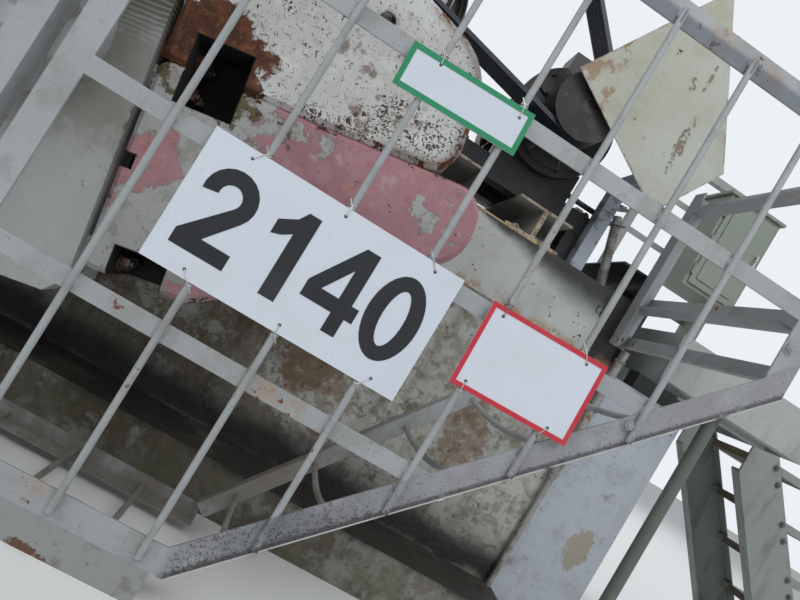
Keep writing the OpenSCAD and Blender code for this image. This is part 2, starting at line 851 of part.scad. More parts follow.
module belt_guard() {
    post_x = -motor_x - 325;
    color([0.74, 0.73, 0.63]) slab_y(plate_side, plate_side + 4)
        polygon([for (p = belt_plate) [-motor_x - p[0], motor_z + p[1]]]);
    color(paint) {
        translate([post_x, pedestal_half - 64, frame_top + seat]) cube([50, 60, motor_z - 60 - frame_top]);
        translate([post_x, pedestal_half - 12, motor_z - 110])
            cube([50, plate_side - pedestal_half + 13, 50]);
    }
}

module conduits() {
    x = -slab_rear + 12;
    y = pedestal_half + 17 + seat;
    color(paint) {
        intersection() {
            rod([-motor_x - 352, pedestal_half - 40, motor_z - 170],
                [-motor_x - 435, pedestal_half - 40, frame_top - 20], 16);
            translate([-slab_rear, 0, frame_top + seat]) cube([1000, 1000, 1000]);
        }
        translate([x, y, 600]) cylinder(r = 17, h = return_foot - seat - 600);
        translate([x, y, slab_h]) cylinder(r = 11, h = 441);
    }
}

// Crank guard. A panel's own axes: x from its inner edge, y outwards from its flats, z up.
corner_slope = atan2(guard_corner_z - guard_bottom, guard_panel_w - guard_corner_x);

function cut_z(x) = guard_bottom + (x - guard_corner_x) * (guard_corner_z - guard_bottom)
    / (guard_panel_w - guard_corner_x);

module angle_post(h, open_side) {
    translate([open_side > 0 ? 0 : -angle_w, -angle_t, 0]) cube([angle_w, angle_t, h]);
    translate([open_side > 0 ? 0 : -angle_t, -angle_w, 0]) cube([angle_t, angle_w, h]);
}

module angle_rail(len, up) {
    translate([0, -angle_t, up ? -angle_w : 0]) cube([len, angle_t, angle_w]);
    translate([0, -angle_w, up ? -angle_t : 0]) cube([len, angle_w, angle_t]);
}

module uprights(first, count, z1, clipped) {
    for (i = [0:count - 1]) {
        x = first + i * bar_pitch;
        z0 = clipped && x > guard_corner_x ? cut_z(x) + 12 : guard_bottom + 20;
        translate([x, bar_r - 1, z0]) cylinder(r = bar_r, h = z1 - z0, $fn = 20);
    }
}

// Lower edge of a corner panel, level up to its cut corner.
module corner_band(w) {
    rise = w / cos(corner_slope);
    polygon([[0, guard_bottom], [guard_corner_x, guard_bottom], [guard_panel_w, guard_corner_z],
             [guard_panel_w, guard_corner_z + rise],
             [guard_corner_x - w * tan(corner_slope / 2), guard_bottom + w], [0, guard_bottom + w]]);
}

module corner_panel() {
    run = guard_panel_w - guard_corner_x;
    rise = guard_corner_z - guard_bottom;
    translate([0, 0, guard_bottom]) angle_post(guard_top - guard_bottom, 1);
    translate([guard_panel_w, 0, guard_corner_z]) angle_post(guard_top - guard_corner_z, -1);
    translate([0, 0, guard_top]) angle_rail(guard_panel_w, true);
    slab_y(-angle_t, 0) corner_band(angle_w);
    slab_y(-angle_w, 0) corner_band(angle_t);
    for (k = [0:2]) {
        z = flat_first + k * flat_pitch;
        end = z > guard_corner_z ? guard_panel_w - 10
            : guard_corner_x + (z - guard_bottom) * run / rise - 10;
        translate([0, -flat_t, z - flat_w / 2]) cube([end, flat_t, flat_w]);
    }
    uprights(bar_first, 7, guard_top - 25, true);
}

module middle_panel() {
    translate([0, 0, guard_bottom]) angle_post(guard_top - guard_bottom, 1);
    translate([guard_middle_w, 0, guard_bottom]) angle_post(guard_top - guard_bottom, -1);
    translate([0, 0, guard_top]) angle_rail(guard_middle_w, true);
    translate([0, 0, guard_bottom]) angle_rail(guard_middle_w, false);
    for (k = [0:2])
        translate([0, -flat_t, flat_first + k * flat_pitch - flat_w / 2]) cube([guard_middle_w, flat_t, flat_w]);
    uprights(guard_middle_w / 2 - 1.5 * bar_pitch, 4, guard_top - 25, false);
}

// end: 1 rear, -1 front
module at_panel(end) {
    mirror_x(end) translate([guard_middle_w / 2 + guard_panel_gap, guard_y, 0]) children();
}

module mirror_x(end) {
    translate([-shaft_x, 0, 0]) mirror([end > 0 ? 1 : 0, 0, 0]) children();
}

module guard_rear_panels() {
    color(paint) both_sides() at_panel(1) corner_panel();
}

module guard_front_panels() {
    color(paint) both_sides() at_panel(-1) corner_panel();
}

module guard_middle_panels() {
    color(paint) both_sides() translate([-shaft_x - guard_middle_w / 2, guard_y, 0]) middle_panel();
}

module return_rail(z, face, shelf) {
    reach = guard_y - angle_w - pedestal_half - 2 * seat;
    y0 = pedestal_half + seat - guard_y;
    translate([guard_panel_w - angle_t - seat, y0, z]) cube([angle_t, reach, face]);
    translate([guard_panel_w - shelf, y0, z]) cube([shelf, reach, angle_t]);
}

module end_return() {
    translate([guard_panel_w - angle_w, pedestal_half + seat - guard_y, return_foot]) {
        cube([angle_w, angle_t, guard_top - return_foot]);
        cube([angle_t, angle_w, guard_top - return_foot]);
    }
    return_rail(return_foot + 10, 45, 20);
    return_rail(flat_first + 2 * flat_pitch - angle_w / 2, angle_w, angle_w);
    return_rail(guard_top - angle_w, angle_w, angle_w);
}

module guard_end_returns() {
    color(paint) both_sides() for (end = [-1, 1]) at_panel(end) end_return();
}

sill_back = 45;
inner_z = 52;

module guard_sills() {
    half = guard_middle_w / 2 + guard_panel_gap + guard_corner_x - 32;
    color([0.68, 0.68, 0.66]) both_sides()
        translate([-shaft_x - half, guard_y - sill_back, 0]) cube([2 * half, sill_back, guard_bottom - seat]);
}

module guard_inner_rails() {
    half = guard_middle_w / 2 + guard_panel_gap + guard_corner_x;
    y = guard_y - inner_back;
    color(paint) both_sides() {
        translate([-shaft_x - half, y, inner_z - 22]) cube([2 * half, 5, 50]);
        translate([-shaft_x - half, y, inner_z - 22]) cube([2 * half, 50, 5]);
        for (i = [-5:5]) rod([-shaft_x + i * bar_pitch, y + 2, inner_z],
                             [-shaft_x + i * bar_pitch, guard_y - sill_back - seat, inner_z], bar_r);
    }
}

module corner_brace() {
    y = -inner_back;
    foot = [guard_corner_x + 2, y + 25, inner_z + 28];
    head = [1370, y + 25, 930];
    strut(foot, head, 44);
    for (f = [0.14, 0.32, 0.52, 0.72, 0.92]) {
        p = foot + f * (head - foot);
        x = guard_corner_x + (p[2] + 10 - guard_bottom) * (guard_panel_w - guard_corner_x)
            / (guard_corner_z - guard_bottom);
        rod(p, [x - 24, -angle_w - 1, p[2] + 10], bar_r);
    }
    tie_y = pedestal_half + seat - guard_y;
    translate([head[0] - 30, tie_y, head[2] - 20]) cube([44, head[1] - tie_y, 8]);
}

module guard_corner_braces() {
    color(paint) both_sides() for (end = [-1, 1]) at_panel(end) corner_brace();
}

// A plate tied to the uprights of the near rear panel: x is measured from the panel's inner edge.
module plate(x, z, w, h) {
    color([0.85, 0.87, 0.88]) at_panel(1)
        translate([x - w / 2, plate_y - guard_y, z - h / 2]) cube([w, plate_t, h]);
}

module number_plate() {
    plate(number_x, number_z, number_w, number_h);
}

module green_plate() {
    plate(green_x, green_z, small_w, green_h);
}

module red_plate() {
    plate(red_x, red_z, small_w, red_h);
}

// Rear platform
stair_end = platform_x + platform_len;

module platform() {
    t = 8;
    under = platform_z - platform_edge;
    color([0.66, 0.68, 0.68]) {
        translate([-stair_end, -platform_half, platform_z - 6]) cube([platform_len, 2 * platform_half, 6]);
        for (y = [-platform_half, platform_half - t])
            translate([-stair_end, y, under]) cube([platform_len, t, platform_edge]);
        for (y = [-platform_half, platform_half - 60])
            translate([-stair_end, y, under]) cube([platform_len, 60, t]);
        for (x = [-stair_end, -platform_x - t])
            translate([x, -platform_half, under]) cube([t, 2 * platform_half, platform_edge]);
        for (y = [-380, 300])
            translate([-stair_end, y, under]) cube([platform_len, 80, platform_edge]);
        for (y = [-380, 300])
            translate([-slab_rear - rear_block_len + 20, y, pedestal_top + seat])
                cube([rear_block_len - platform_gap - 30, 80, under - pedestal_top]);
        for (y = [-platform_half + 30, platform_half - 60])
            translate([-platform_x - 290, y, 0]) cylinder(r = 24, h = under + 4);
    }
}

module stringer(y, inward) {
    run = platform_z / tan(stair_slope);
    depth = 180;
    drop = depth / cos(stair_slope);
    x0 = -stair_end - seat;
    outline = [[x0, platform_z], [x0, platform_z - drop], [x0 - run + drop / tan(stair_slope), 0],
               [x0 - run, 0]];
    slab_y(y - 4, y + 4) polygon(outline);
    slab_y(inward > 0 ? y : y - 45, inward > 0 ? y + 45 : y) {
        polygon([outline[0], [x0, platform_z - 9], [x0 - run + 9, 0], outline[3]]);
        polygon([[x0, platform_z - drop + 9], outline[1], outline[2],
                 [outline[2][0] - 9, 0]]);
    }
}

module stair() {
    rise = platform_z / (tread_count + 1);
    going = rise / tan(stair_slope);
    color([0.62, 0.64, 0.63]) {
        stringer(stair_y + stair_w / 2 - 4, -1);
        stringer(stair_y - stair_w / 2 + 4, 1);
        for (i = [1:tread_count])
            translate([-stair_end - i * going - 205, stair_y - stair_w / 2 + 6, platform_z - i * rise - 30])
                cube([230, stair_w - 12, 30]);
    }
}

module railing() {
    y = -platform_half + 30;
    xs = [-stair_end + 30, -platform_x - 30];
    color(paint) {
        for (x = xs) translate([x - 20, y - 20, platform_z]) cube([40, 40, railing_h]);
        for (z = [0.27, 0.52, 0.77])
            translate([xs[0], y - 4, platform_z + z * railing_h]) cube([xs[1] - xs[0], 8, 30]);
        translate([xs[0] - 20, y - 22, platform_z + railing_h - 40]) cube([xs[1] - xs[0] + 40, 44, 40]);
    }
}

module control_box() {
    color([0.55, 0.60, 0.56]) {
        translate([-stair_end + 10, -470, platform_z]) cube([60, 60, 420]);
        translate([-stair_end + 10, -500, platform_z + 400]) cube([300, 230, 520]);
        translate([-stair_end - 5, -509, platform_z + 905]) cube([330, 254, 15]);
    }
}

base_slab();
pedestals();
rear_block();
base_frame();
cross_members();
post_legs(1);  // post_front_legs
post_legs(-1);  // post_rear_legs
post_ties();
post_head();
post_ladder();
saddle_bearing();
walking_beam();
horsehead();
tail_bearing();
equalizer();
pitman();  // pitman_near
mirror([0, 1, 0]) pitman();  // pitman_far
crankshaft();
crank();  // crank_near
mirror([0, 1, 0]) crank();  // crank_far
crank_pins();
inner_weights();
outer_weights();
gear_reducer();
sheave();
brake_drum();
v_belts();
motor();
motor_pulley();
motor_base();
belt_guard();
conduits();
guard_rear_panels();
guard_middle_panels();
guard_front_panels();
guard_end_returns();
guard_inner_rails();
guard_corner_braces();
guard_sills();
number_plate();
green_plate();
red_plate();
platform();
stair();
railing();
control_box();
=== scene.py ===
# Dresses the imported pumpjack: finishes for every CAD node, and the small pieces that sit on them.
# Metres throughout. X points to the well, Y to the side with the number plate, Z up.
import json
import math

import bmesh
import bpy
from mathutils import Matrix, Vector

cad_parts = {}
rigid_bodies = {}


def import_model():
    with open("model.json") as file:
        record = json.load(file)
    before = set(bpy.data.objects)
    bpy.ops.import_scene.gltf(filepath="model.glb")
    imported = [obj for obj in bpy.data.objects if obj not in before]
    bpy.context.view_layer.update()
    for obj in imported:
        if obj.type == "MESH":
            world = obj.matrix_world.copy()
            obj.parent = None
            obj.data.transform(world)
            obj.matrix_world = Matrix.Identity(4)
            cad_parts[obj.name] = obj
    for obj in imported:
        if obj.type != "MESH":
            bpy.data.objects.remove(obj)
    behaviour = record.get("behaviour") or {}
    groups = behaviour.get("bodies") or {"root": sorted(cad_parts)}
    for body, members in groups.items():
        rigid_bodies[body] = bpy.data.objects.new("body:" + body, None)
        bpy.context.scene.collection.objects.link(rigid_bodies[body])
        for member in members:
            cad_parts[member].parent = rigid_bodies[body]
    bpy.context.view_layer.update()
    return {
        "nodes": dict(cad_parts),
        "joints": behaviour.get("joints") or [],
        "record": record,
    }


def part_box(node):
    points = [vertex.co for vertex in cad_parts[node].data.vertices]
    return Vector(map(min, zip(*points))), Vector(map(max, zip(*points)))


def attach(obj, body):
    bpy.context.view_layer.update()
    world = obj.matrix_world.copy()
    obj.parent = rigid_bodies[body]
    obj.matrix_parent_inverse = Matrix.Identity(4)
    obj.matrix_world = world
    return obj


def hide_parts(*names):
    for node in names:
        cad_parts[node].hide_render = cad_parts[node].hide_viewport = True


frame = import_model()
NODES = frame["nodes"]

# Sizes that the part's source gives, in metres
PIVOTS = {joint["name"]: Vector(joint["pos_m"]) for joint in frame["joints"]}
SHAFT = PIVOTS["crank_turn"]
BEAM_PIVOT = PIVOTS["beam_rock"]
TAIL = PIVOTS["pitman_swing"]
CRANK_LEAN = math.radians(10.0)
CRANK_R = 1.200
CRANK_Y = 0.710
CRANK_OUT = 0.920
WEIGHT_JOINT = 1.176
WEIGHT_LEN = 0.560
WEIGHT_IN = 0.290
PITMAN_Y = 1.080
POST_FEET_X = (0.950, -0.620)
FRAME_LEDGE = 1.041
FRAME_TOP = 1.281
CROSS_TOP = 1.399
REDUCER_HALF = 0.400
REDUCER_BOLT_Y = REDUCER_HALF - 0.019
INPUT_X = -3.258
MOTOR_X = -4.073
MOTOR_Z = 1.701
MOTOR_R = 0.195
MOTOR_END_Y = 0.455
MOTOR_RAIL_YS = (MOTOR_END_Y - 0.390, MOTOR_END_Y - 0.100)
REAR_MEMBER_X = MOTOR_X - 0.557
SLAB_REAR = -4.698
GUARD_Y = 1.260
GUARD_BOTTOM = 0.078
GUARD_TOP = 1.742
GUARD_MIDDLE_W = 0.794
GUARD_PANEL_GAP = 0.045
GUARD_PANEL_W = 1.733
GUARD_CORNER_X = 0.722
GUARD_CORNER_Z = 1.096
BAR_FIRST = 0.253
BAR_PITCH = 0.200
BAR_R = 0.008
INNER_BACK = 0.430
INNER_Z = 0.052
WEIGHT_T = 0.240
FLAT_LEVELS = (0.523, 0.912, 1.301)
PANEL_START = GUARD_MIDDLE_W / 2 + GUARD_PANEL_GAP
GUARD_SLOPE = (GUARD_CORNER_Z - GUARD_BOTTOM) / (GUARD_PANEL_W - GUARD_CORNER_X)

# The crank's own directions at rest, and the walking beam's
ALONG_CRANK = Vector((-math.sin(CRANK_LEAN), 0.0, -math.cos(CRANK_LEAN)))
ACROSS_CRANK = Vector((-math.cos(CRANK_LEAN), 0.0, math.sin(CRANK_LEAN)))
BEAM_TILT = math.atan2(BEAM_PIVOT.z - TAIL.z, BEAM_PIVOT.x - TAIL.x)
ALONG_BEAM = Vector((math.cos(BEAM_TILT), 0.0, math.sin(BEAM_TILT)))
ABOVE_BEAM = Vector((-math.sin(BEAM_TILT), 0.0, math.cos(BEAM_TILT)))
TAIL_ARM = (TAIL - BEAM_PIVOT).length
OUTWARD = Vector((0.0, 1.0, 0.0))
UP = Vector((0.0, 0.0, 1.0))
SIDES = (1, -1)


def on_crank(across, y, along):
    """A point given by its distances from the crankshaft, in the cranks' place at rest."""
    return SHAFT + ACROSS_CRANK * across + OUTWARD * y + ALONG_CRANK * along


def on_beam(along, y, above):
    """A point given by its distances from the walking beam's pivot, with the beam at rest."""
    return BEAM_PIVOT + ALONG_BEAM * along + OUTWARD * y + ABOVE_BEAM * above


# Camera, light and floor
CAMERA_AT = (-3.620527, 2.592356, 0.793800)
CAMERA_RIGHT = (-0.846171, 0.124583, 0.518144)
CAMERA_UP = (0.517391, -0.040882, 0.854772)
CAMERA_BACK = (0.127673, 0.991367, -0.029865)
CAMERA_LENS = 28.2037


def make_camera():
    data = bpy.data.cameras.new("camera")
    data.sensor_width = 36.0
    data.lens = CAMERA_LENS
    data.clip_start = 0.02
    data.clip_end = 300.0
    camera = bpy.data.objects.new("camera", data)
    bpy.context.collection.objects.link(camera)
    place = Matrix((CAMERA_RIGHT, CAMERA_UP, CAMERA_BACK)).transposed().to_4x4()
    place.translation = CAMERA_AT
    camera.matrix_world = place
    bpy.context.scene.camera = camera


def make_sky():
    """Soft light from all round, and a pale backdrop that only the camera and clear pieces see."""
    world = bpy.data.worlds.new("sky")
    bpy.context.scene.world = world
    world.use_nodes = True
    tree = world.node_tree
    tree.nodes.clear()
    out = tree.nodes.new("ShaderNodeOutputWorld")
    seen = tree.nodes.new("ShaderNodeBackground")
    seen.inputs["Color"].default_value = (0.84, 0.88, 0.92, 1)
    seen.inputs["Strength"].default_value = 1.0
    lit = tree.nodes.new("ShaderNodeBackground")
    lit.inputs["Color"].default_value = (0.93, 0.97, 1.0, 1)
    lit.inputs["Strength"].default_value = 0.46
    path = tree.nodes.new("ShaderNodeLightPath")
    shown = path.outputs["Is Camera Ray"]
    for ray in ("Is Glossy Ray", "Is Transmission Ray"):
        either = tree.nodes.new("ShaderNodeMath")
        either.operation = "MAXIMUM"
        tree.links.new(shown, either.inputs[0])
        tree.links.new(path.outputs[ray], either.inputs[1])
        shown = either.outputs[0]
    mix = tree.nodes.new("ShaderNodeMixShader")
    tree.links.new(shown, mix.inputs[0])
    tree.links.new(lit.outputs[0], mix.inputs[1])
    tree.links.new(seen.outputs[0], mix.inputs[2])
    tree.links.new(mix.outputs[0], out.inputs["Surface"])


def make_lamps():
    for name, at, aim, size, watts in (
        ("lamp_high", (-7.0, 9.0, 11.0), (-2.5, 0.3, 1.5), 8.0, 760.0),
        ("lamp_rear", (-9.0, -8.0, 10.0), (-2.5, 0.0, 2.0), 8.0, 560.0),
        ("lamp_front", (8.0, 6.0, 9.0), (0.0, 0.0, 2.5), 8.0, 560.0),
    ):
        data = bpy.data.lights.new(name, "AREA")
        data.shape = "DISK"
        data.size = size
        data.energy = watts
        lamp = bpy.data.objects.new(name, data)
        bpy.context.collection.objects.link(lamp)
        lamp.location = at
        lamp.rotation_euler = (Vector(aim) - Vector(at)).to_track_quat("-Z", "Y").to_euler()


def make_floor():
    mesh = bpy.data.meshes.new("floor")
    half = 60.0
    mesh.from_pydata([(-half, -half, 0), (half, -half, 0), (half, half, 0), (-half, half, 0)],
                     [], [(0, 1, 2, 3)])
    floor = bpy.data.objects.new("floor", mesh)
    bpy.context.collection.objects.link(floor)
    paint = bpy.data.materials.new("floor")
    paint.use_nodes = True
    shader = paint.node_tree.nodes["Principled BSDF"]
    shader.inputs["Base Color"].default_value = (0.72, 0.73, 0.73, 1)
    shader.inputs["Roughness"].default_value = 0.9
    mesh.materials.append(paint)


make_camera()
make_sky()
make_lamps()
make_floor()
bpy.context.scene.view_settings.view_transform = "Standard"


# Finishes
def tone(red, green, blue):
    """A colour given as it looks on a screen, 0 to 255, as the shader wants it."""
    def linear(v):
        v /= 255.0
        return v / 12.92 if v <= 0.04045 else ((v + 0.055) / 1.055) ** 2.4
    return (linear(red), linear(green), linear(blue), 1.0)


class Value:
    """A number that a shader works out at each point. Sums and products of it are nodes of their own."""

    def __init__(self, finish, socket):
        self.finish = finish
        self.socket = socket

    def __add__(self, other):
        return self.finish.math("ADD", self, other)

    def __radd__(self, other):
        return self.finish.math("ADD", other, self)

    def __sub__(self, other):
        return self.finish.math("SUBTRACT", self, other)

    def __rsub__(self, other):
        return self.finish.math("SUBTRACT", other, self)

    def __mul__(self, other):
        return self.finish.math("MULTIPLY", self, other)

    def __truediv__(self, other):
        return self.finish.math("DIVIDE", self, other)

    def __abs__(self):
        return self.finish.math("ABSOLUTE", self)


class Finish:
    """A surface built up in layers: each layer covers what is under it where its mask is 1."""

    def __init__(self, name, colour, rough, metal=0.0):
        self.mat = bpy.data.materials.new(name)
        self.mat.use_nodes = True
        self.tree = self.mat.node_tree
        self.shader = self.tree.nodes["Principled BSDF"]
        self.shader.inputs["Metallic"].default_value = metal
        self.colour = colour
        self.rough = rough
        self.height = None
        self.coords = self.add("ShaderNodeTexCoord").outputs["Object"]
        self.normal = self.add("ShaderNodeNewGeometry").outputs["Normal"]
        self.seed = 0

    def add(self, kind, **settings):
        node = self.tree.nodes.new(kind)
        for key, value in settings.items():
            setattr(node, key, value)
        return node

    def put(self, socket, value):
        if isinstance(value, Value):
            value = value.socket
        if isinstance(value, bpy.types.NodeSocket):
            self.tree.links.new(value, socket)
        else:
            socket.default_value = value

    def math(self, operation, a, b=0.0):
        node = self.add("ShaderNodeMath", operation=operation)
        self.put(node.inputs[0], a)
        self.put(node.inputs[1], b)
        return Value(self, node.outputs[0])

    def most(self, *values):
        result = values[0]
        for value in values[1:]:
            result = self.math("MAXIMUM", result, value)
        return result

    def step(self, value, low, high):
        """0 below low and 1 above high; the other way round where low is the larger."""
        node = self.add("ShaderNodeMapRange", interpolation_type="SMOOTHSTEP")
        self.put(node.inputs["Value"], value)
        flip = low > high
        node.inputs["From Min"].default_value = min(low, high)
        node.inputs["From Max"].default_value = max(low, high)
        node.inputs["To Min"].default_value = 1.0 if flip else 0.0
        node.inputs["To Max"].default_value = 0.0 if flip else 1.0
        return Value(self, node.outputs["Result"])

    def band(self, value, low, high, soft):
        return self.step(value, low - soft, low + soft) * self.step(value, high + soft, high - soft)

    def noise(self, scale, detail=6.0, rough=0.6, stretch=(1, 1, 1), warp=0.0):
        """Clouds in the piece's own coordinates, moved each time so that no two match."""
        self.seed += 1
        move = self.add("ShaderNodeMapping")
        move.inputs["Location"].default_value = (7.3 * self.seed, 3.1 * self.seed, 5.7 * self.seed)
        move.inputs["Scale"].default_value = stretch
        self.tree.links.new(self.coords, move.inputs["Vector"])
        node = self.add("ShaderNodeTexNoise")
        node.inputs["Scale"].default_value = scale
        node.inputs["Detail"].default_value = detail
        node.inputs["Roughness"].default_value = rough
        node.inputs["Distortion"].default_value = warp
        self.tree.links.new(move.outputs["Vector"], node.inputs["Vector"])
        return Value(self, node.outputs["Fac"])

    def measure(self, direction, origin=(0, 0, 0), of=None):
        """How far a surface point lies from the origin along a direction."""
        moved = self.add("ShaderNodeVectorMath", operation="SUBTRACT")
        self.put(moved.inputs[0], of or self.coords)
        self.put(moved.inputs[1], origin)
        dot = self.add("ShaderNodeVectorMath", operation="DOT_PRODUCT")
        self.put(dot.inputs[0], moved.outputs[0])
        self.put(dot.inputs[1], direction)
        return Value(self, dot.outputs["Value"])

    def facing(self, direction):
        return self.measure(direction, of=self.normal)

    def spot(self, a, b, at, size, ragged=0.35, scale=9.0):
        """1 inside a ragged ellipse about a place, given in the two measures a and b."""
        da = (a - at[0]) / size[0]
        db = (b - at[1]) / size[1]
        away = self.math("SQRT", da * da + db * db)
        wobble = (self.noise(scale, 8.0, 0.7) - 0.5) * (ragged * 4)
        return self.step(away + wobble, 1.05, 0.95)

    def rim(self, radius, low=0.02, high=0.25):
        """1 near the piece's edges, from the angle between the true and a rounded normal."""
        bevel = self.add("ShaderNodeBevel", samples=4)
        bevel.inputs["Radius"].default_value = radius
        dot = self.add("ShaderNodeVectorMath", operation="DOT_PRODUCT")
        self.tree.links.new(bevel.outputs[0], dot.inputs[0])
        self.tree.links.new(self.normal, dot.inputs[1])
        return self.step(1.0 - Value(self, dot.outputs["Value"]), low, high)

    def patches(self, scale, amount, edge=0.02, detail=8.0, rough=0.65, stretch=(1, 1, 1),
                push=None, pull=0.3, warp=0.0):
        """Ragged patches over about that share of the surface, more of them where push is high."""
        value = self.noise(scale, detail, rough, stretch, warp)
        if push is not None:
            value = value + push * pull
        level = 0.5 + (0.5 - amount) * 0.42
        return self.step(value, level - edge, level + edge)

    def cover(self, mask, colour, rough=None, lift=0.0):
        mix = self.add("ShaderNodeMix", data_type="RGBA")
        self.put(mix.inputs["Factor"], mask)
        self.put(mix.inputs["A"], self.colour)
        self.put(mix.inputs["B"], colour)
        self.colour = mix.outputs["Result"]
        if rough is not None:
            fade = self.add("ShaderNodeMix", data_type="FLOAT")
            self.put(fade.inputs[0], mask)
            self.put(fade.inputs[2], self.rough)
            self.put(fade.inputs[3], rough)
            self.rough = fade.outputs[0]
        if lift:
            self.raise_by(mask, lift)

    def tint(self, mask, colour, share):
        """Covers with a colour that lets the layers under it show."""
        self.cover(mask * share, colour)

    def stain(self, colour, share, *shape, within=None, **more):
        """Tints ragged patches, and only inside the mask within where it is given."""
        mask = self.patches(*shape, **more)
        self.tint(mask if within is None else within * mask, colour, share)

    def clouds(self, colour, share, shape, levels):
        """Tints in soft clouds: shape goes to noise, and levels are where a cloud starts and is full."""
        self.tint(self.step(self.noise(*shape), *levels), colour, share)

    def beside(self, low, high):
        """1 on faces that look along Y, either way."""
        return self.step(abs(self.facing(NORTH)), low, high)

    def ragged(self, value, scale):
        """The value, made uneven by a twentieth of a cloud."""
        uneven = self.noise(scale, 6.0, 0.7) - 0.5
        return value + uneven * 0.05

    def raise_by(self, mask, lift):
        part = mask * lift
        self.height = part if self.height is None else self.height + part

    def done(self, grain=0.0002, grain_scale=160.0):
        """Adds the fine grain, links the layers to the shader and returns the material."""
        self.raise_by(self.noise(grain_scale, 3.0, 0.5), grain)
        bump = self.add("ShaderNodeBump")
        bump.inputs["Strength"].default_value = 1.0
        bump.inputs["Distance"].default_value = 1.0
        self.put(bump.inputs["Height"], self.height)
        self.tree.links.new(bump.outputs[0], self.shader.inputs["Normal"])
        self.put(self.shader.inputs["Base Color"], self.colour)
        self.put(self.shader.inputs["Roughness"], self.rough)
        return self.mat


RUST_DARK = tone(70, 44, 32)
RUST = tone(104, 62, 42)
RUST_LIGHT = tone(150, 106, 74)
DIRT = tone(74, 70, 62)
OIL = tone(24, 23, 22)
DUST = tone(150, 144, 130)
EAST = (1, 0, 0)
NORTH = (0, 1, 0)


def weathered_paint(name, coat, rust=0.1, dirt=0.3, rough=0.55, fade=None, legs=None):
    """Old paint on steel: faded, chipped at its edges and dusty; legs may have their own colour."""
    f = Finish(name, coat, rough)
    f.clouds(fade or tone(196, 197, 194), 0.35, (1.6, 5.0, 0.6), (0.4, 0.62))
    f.stain(DUST, 0.3, 9.0, 0.35, 0.12)
    if legs:
        level, colour = legs
        f.cover(f.step(f.measure(UP), level + 0.004, level - 0.004), colour)
    f.stain(DIRT, dirt, 14.0, 0.22, 0.1, stretch=(1, 1, 0.12))
    group = f.noise(3.0, 4.0, 0.6) - 0.5
    push = f.rim(0.006) + group * 1.4
    f.stain(RUST_LIGHT, 0.5, 26.0, rust, 0.05, push=push, pull=0.14)
    chip = f.patches(26.0, rust * 0.6, 0.012, push=push, pull=0.14)
    f.cover(chip, RUST, 0.85, -0.0004)
    f.tint(chip * f.noise(90.0, 3.0, 0.6), RUST_DARK, 0.9)
    f.stain(tone(62, 58, 52), 0.5, 120.0, 0.12, 0.03, detail=3.0)
    f.stain(DUST, 0.55, 20.0, 0.6, 0.12, within=f.step(f.facing(UP), 0.35, 0.9))
    return f.done()


def old_concrete():
    """Cast concrete: brown stains, remains of whitewash, oil on its ledge and run down from the frame, and
    painted shade low on its face.
    """
    f = Finish("concrete", tone(136, 132, 119), 0.92)
    x, z = f.measure(EAST), f.measure(UP)
    f.clouds(tone(116, 106, 88), 0.8, (2.2, 6.0, 0.62), (0.42, 0.62))
    f.stain(tone(154, 150, 138), 0.75, 5.0, 0.4, 0.08)
    wash = f.patches(3.6, 0.42, 0.02, detail=10.0, rough=0.72, push=f.step(x, -3.6, -4.5), pull=0.16)
    f.cover(wash, tone(180, 181, 175), 0.85, 0.0014)
    f.stain(tone(140, 134, 120), 0.8, 15.0, 0.4, 0.06, within=wash)
    for at, size in (((-3.42, 0.60), (0.16, 0.10)), ((-3.78, 0.50), (0.12, 0.09)),
                     ((-4.36, 0.55), (0.09, 0.16)),
                     ((-4.60, 0.86), (0.06, 0.08)), ((-2.95, 0.42), (0.2, 0.08)),
                     ((0.2, 0.5), (0.3, 0.14))):
        stain = f.spot(x, z, at, size, 0.8, 6.0) * f.patches(26.0, 0.66, 0.08, detail=9.0, rough=0.7)
        f.tint(stain, tone(116, 82, 52), 0.6)
    f.stain(tone(112, 84, 58), 0.6, 8.5, 0.26, 0.07, detail=10.0, rough=0.75)
    f.stain(tone(96, 90, 76), 0.6, 19.0, 0.30, 0.06, detail=8.0, rough=0.7)
    f.stain(tone(178, 174, 160), 0.55, 34.0, 0.20, 0.04, detail=8.0)
    f.stain(tone(76, 66, 52), 0.5, 7.0, 0.3, 0.1, stretch=(1, 1, 0.14))
    f.stain(tone(58, 52, 42), 0.55, 30.0, 0.16, 0.03, detail=5.0)
    ragged = z + f.noise(5.0, 6.0, 0.7) * 0.12
    # Painted shade: the face grows darker towards its foot, below about 0.3 to 0.5 m.
    f.tint(f.step(ragged, 0.50, 0.27), tone(52, 46, 38), 0.55)
    # Oil and painted shade: a black band low on the face.
    f.cover(f.step(ragged, 0.36, 0.27) * f.step(ragged, 0.19, 0.235), OIL, 0.5)
    f.stain(tone(84, 88, 60), 0.6, 8.0, 0.45, 0.06, within=f.step(z, 0.20, 0.05))
    top = f.step(f.facing(UP), 0.6, 0.9)
    f.cover(top * f.patches(4.0, 0.75, 0.1), tone(46, 42, 37), 0.55)
    f.raise_by(f.patches(40.0, 0.2, 0.06), -0.0016)
    f.raise_by(f.noise(9.0, 8.0, 0.7), 0.006)
    return f.done(0.0012, 120.0)


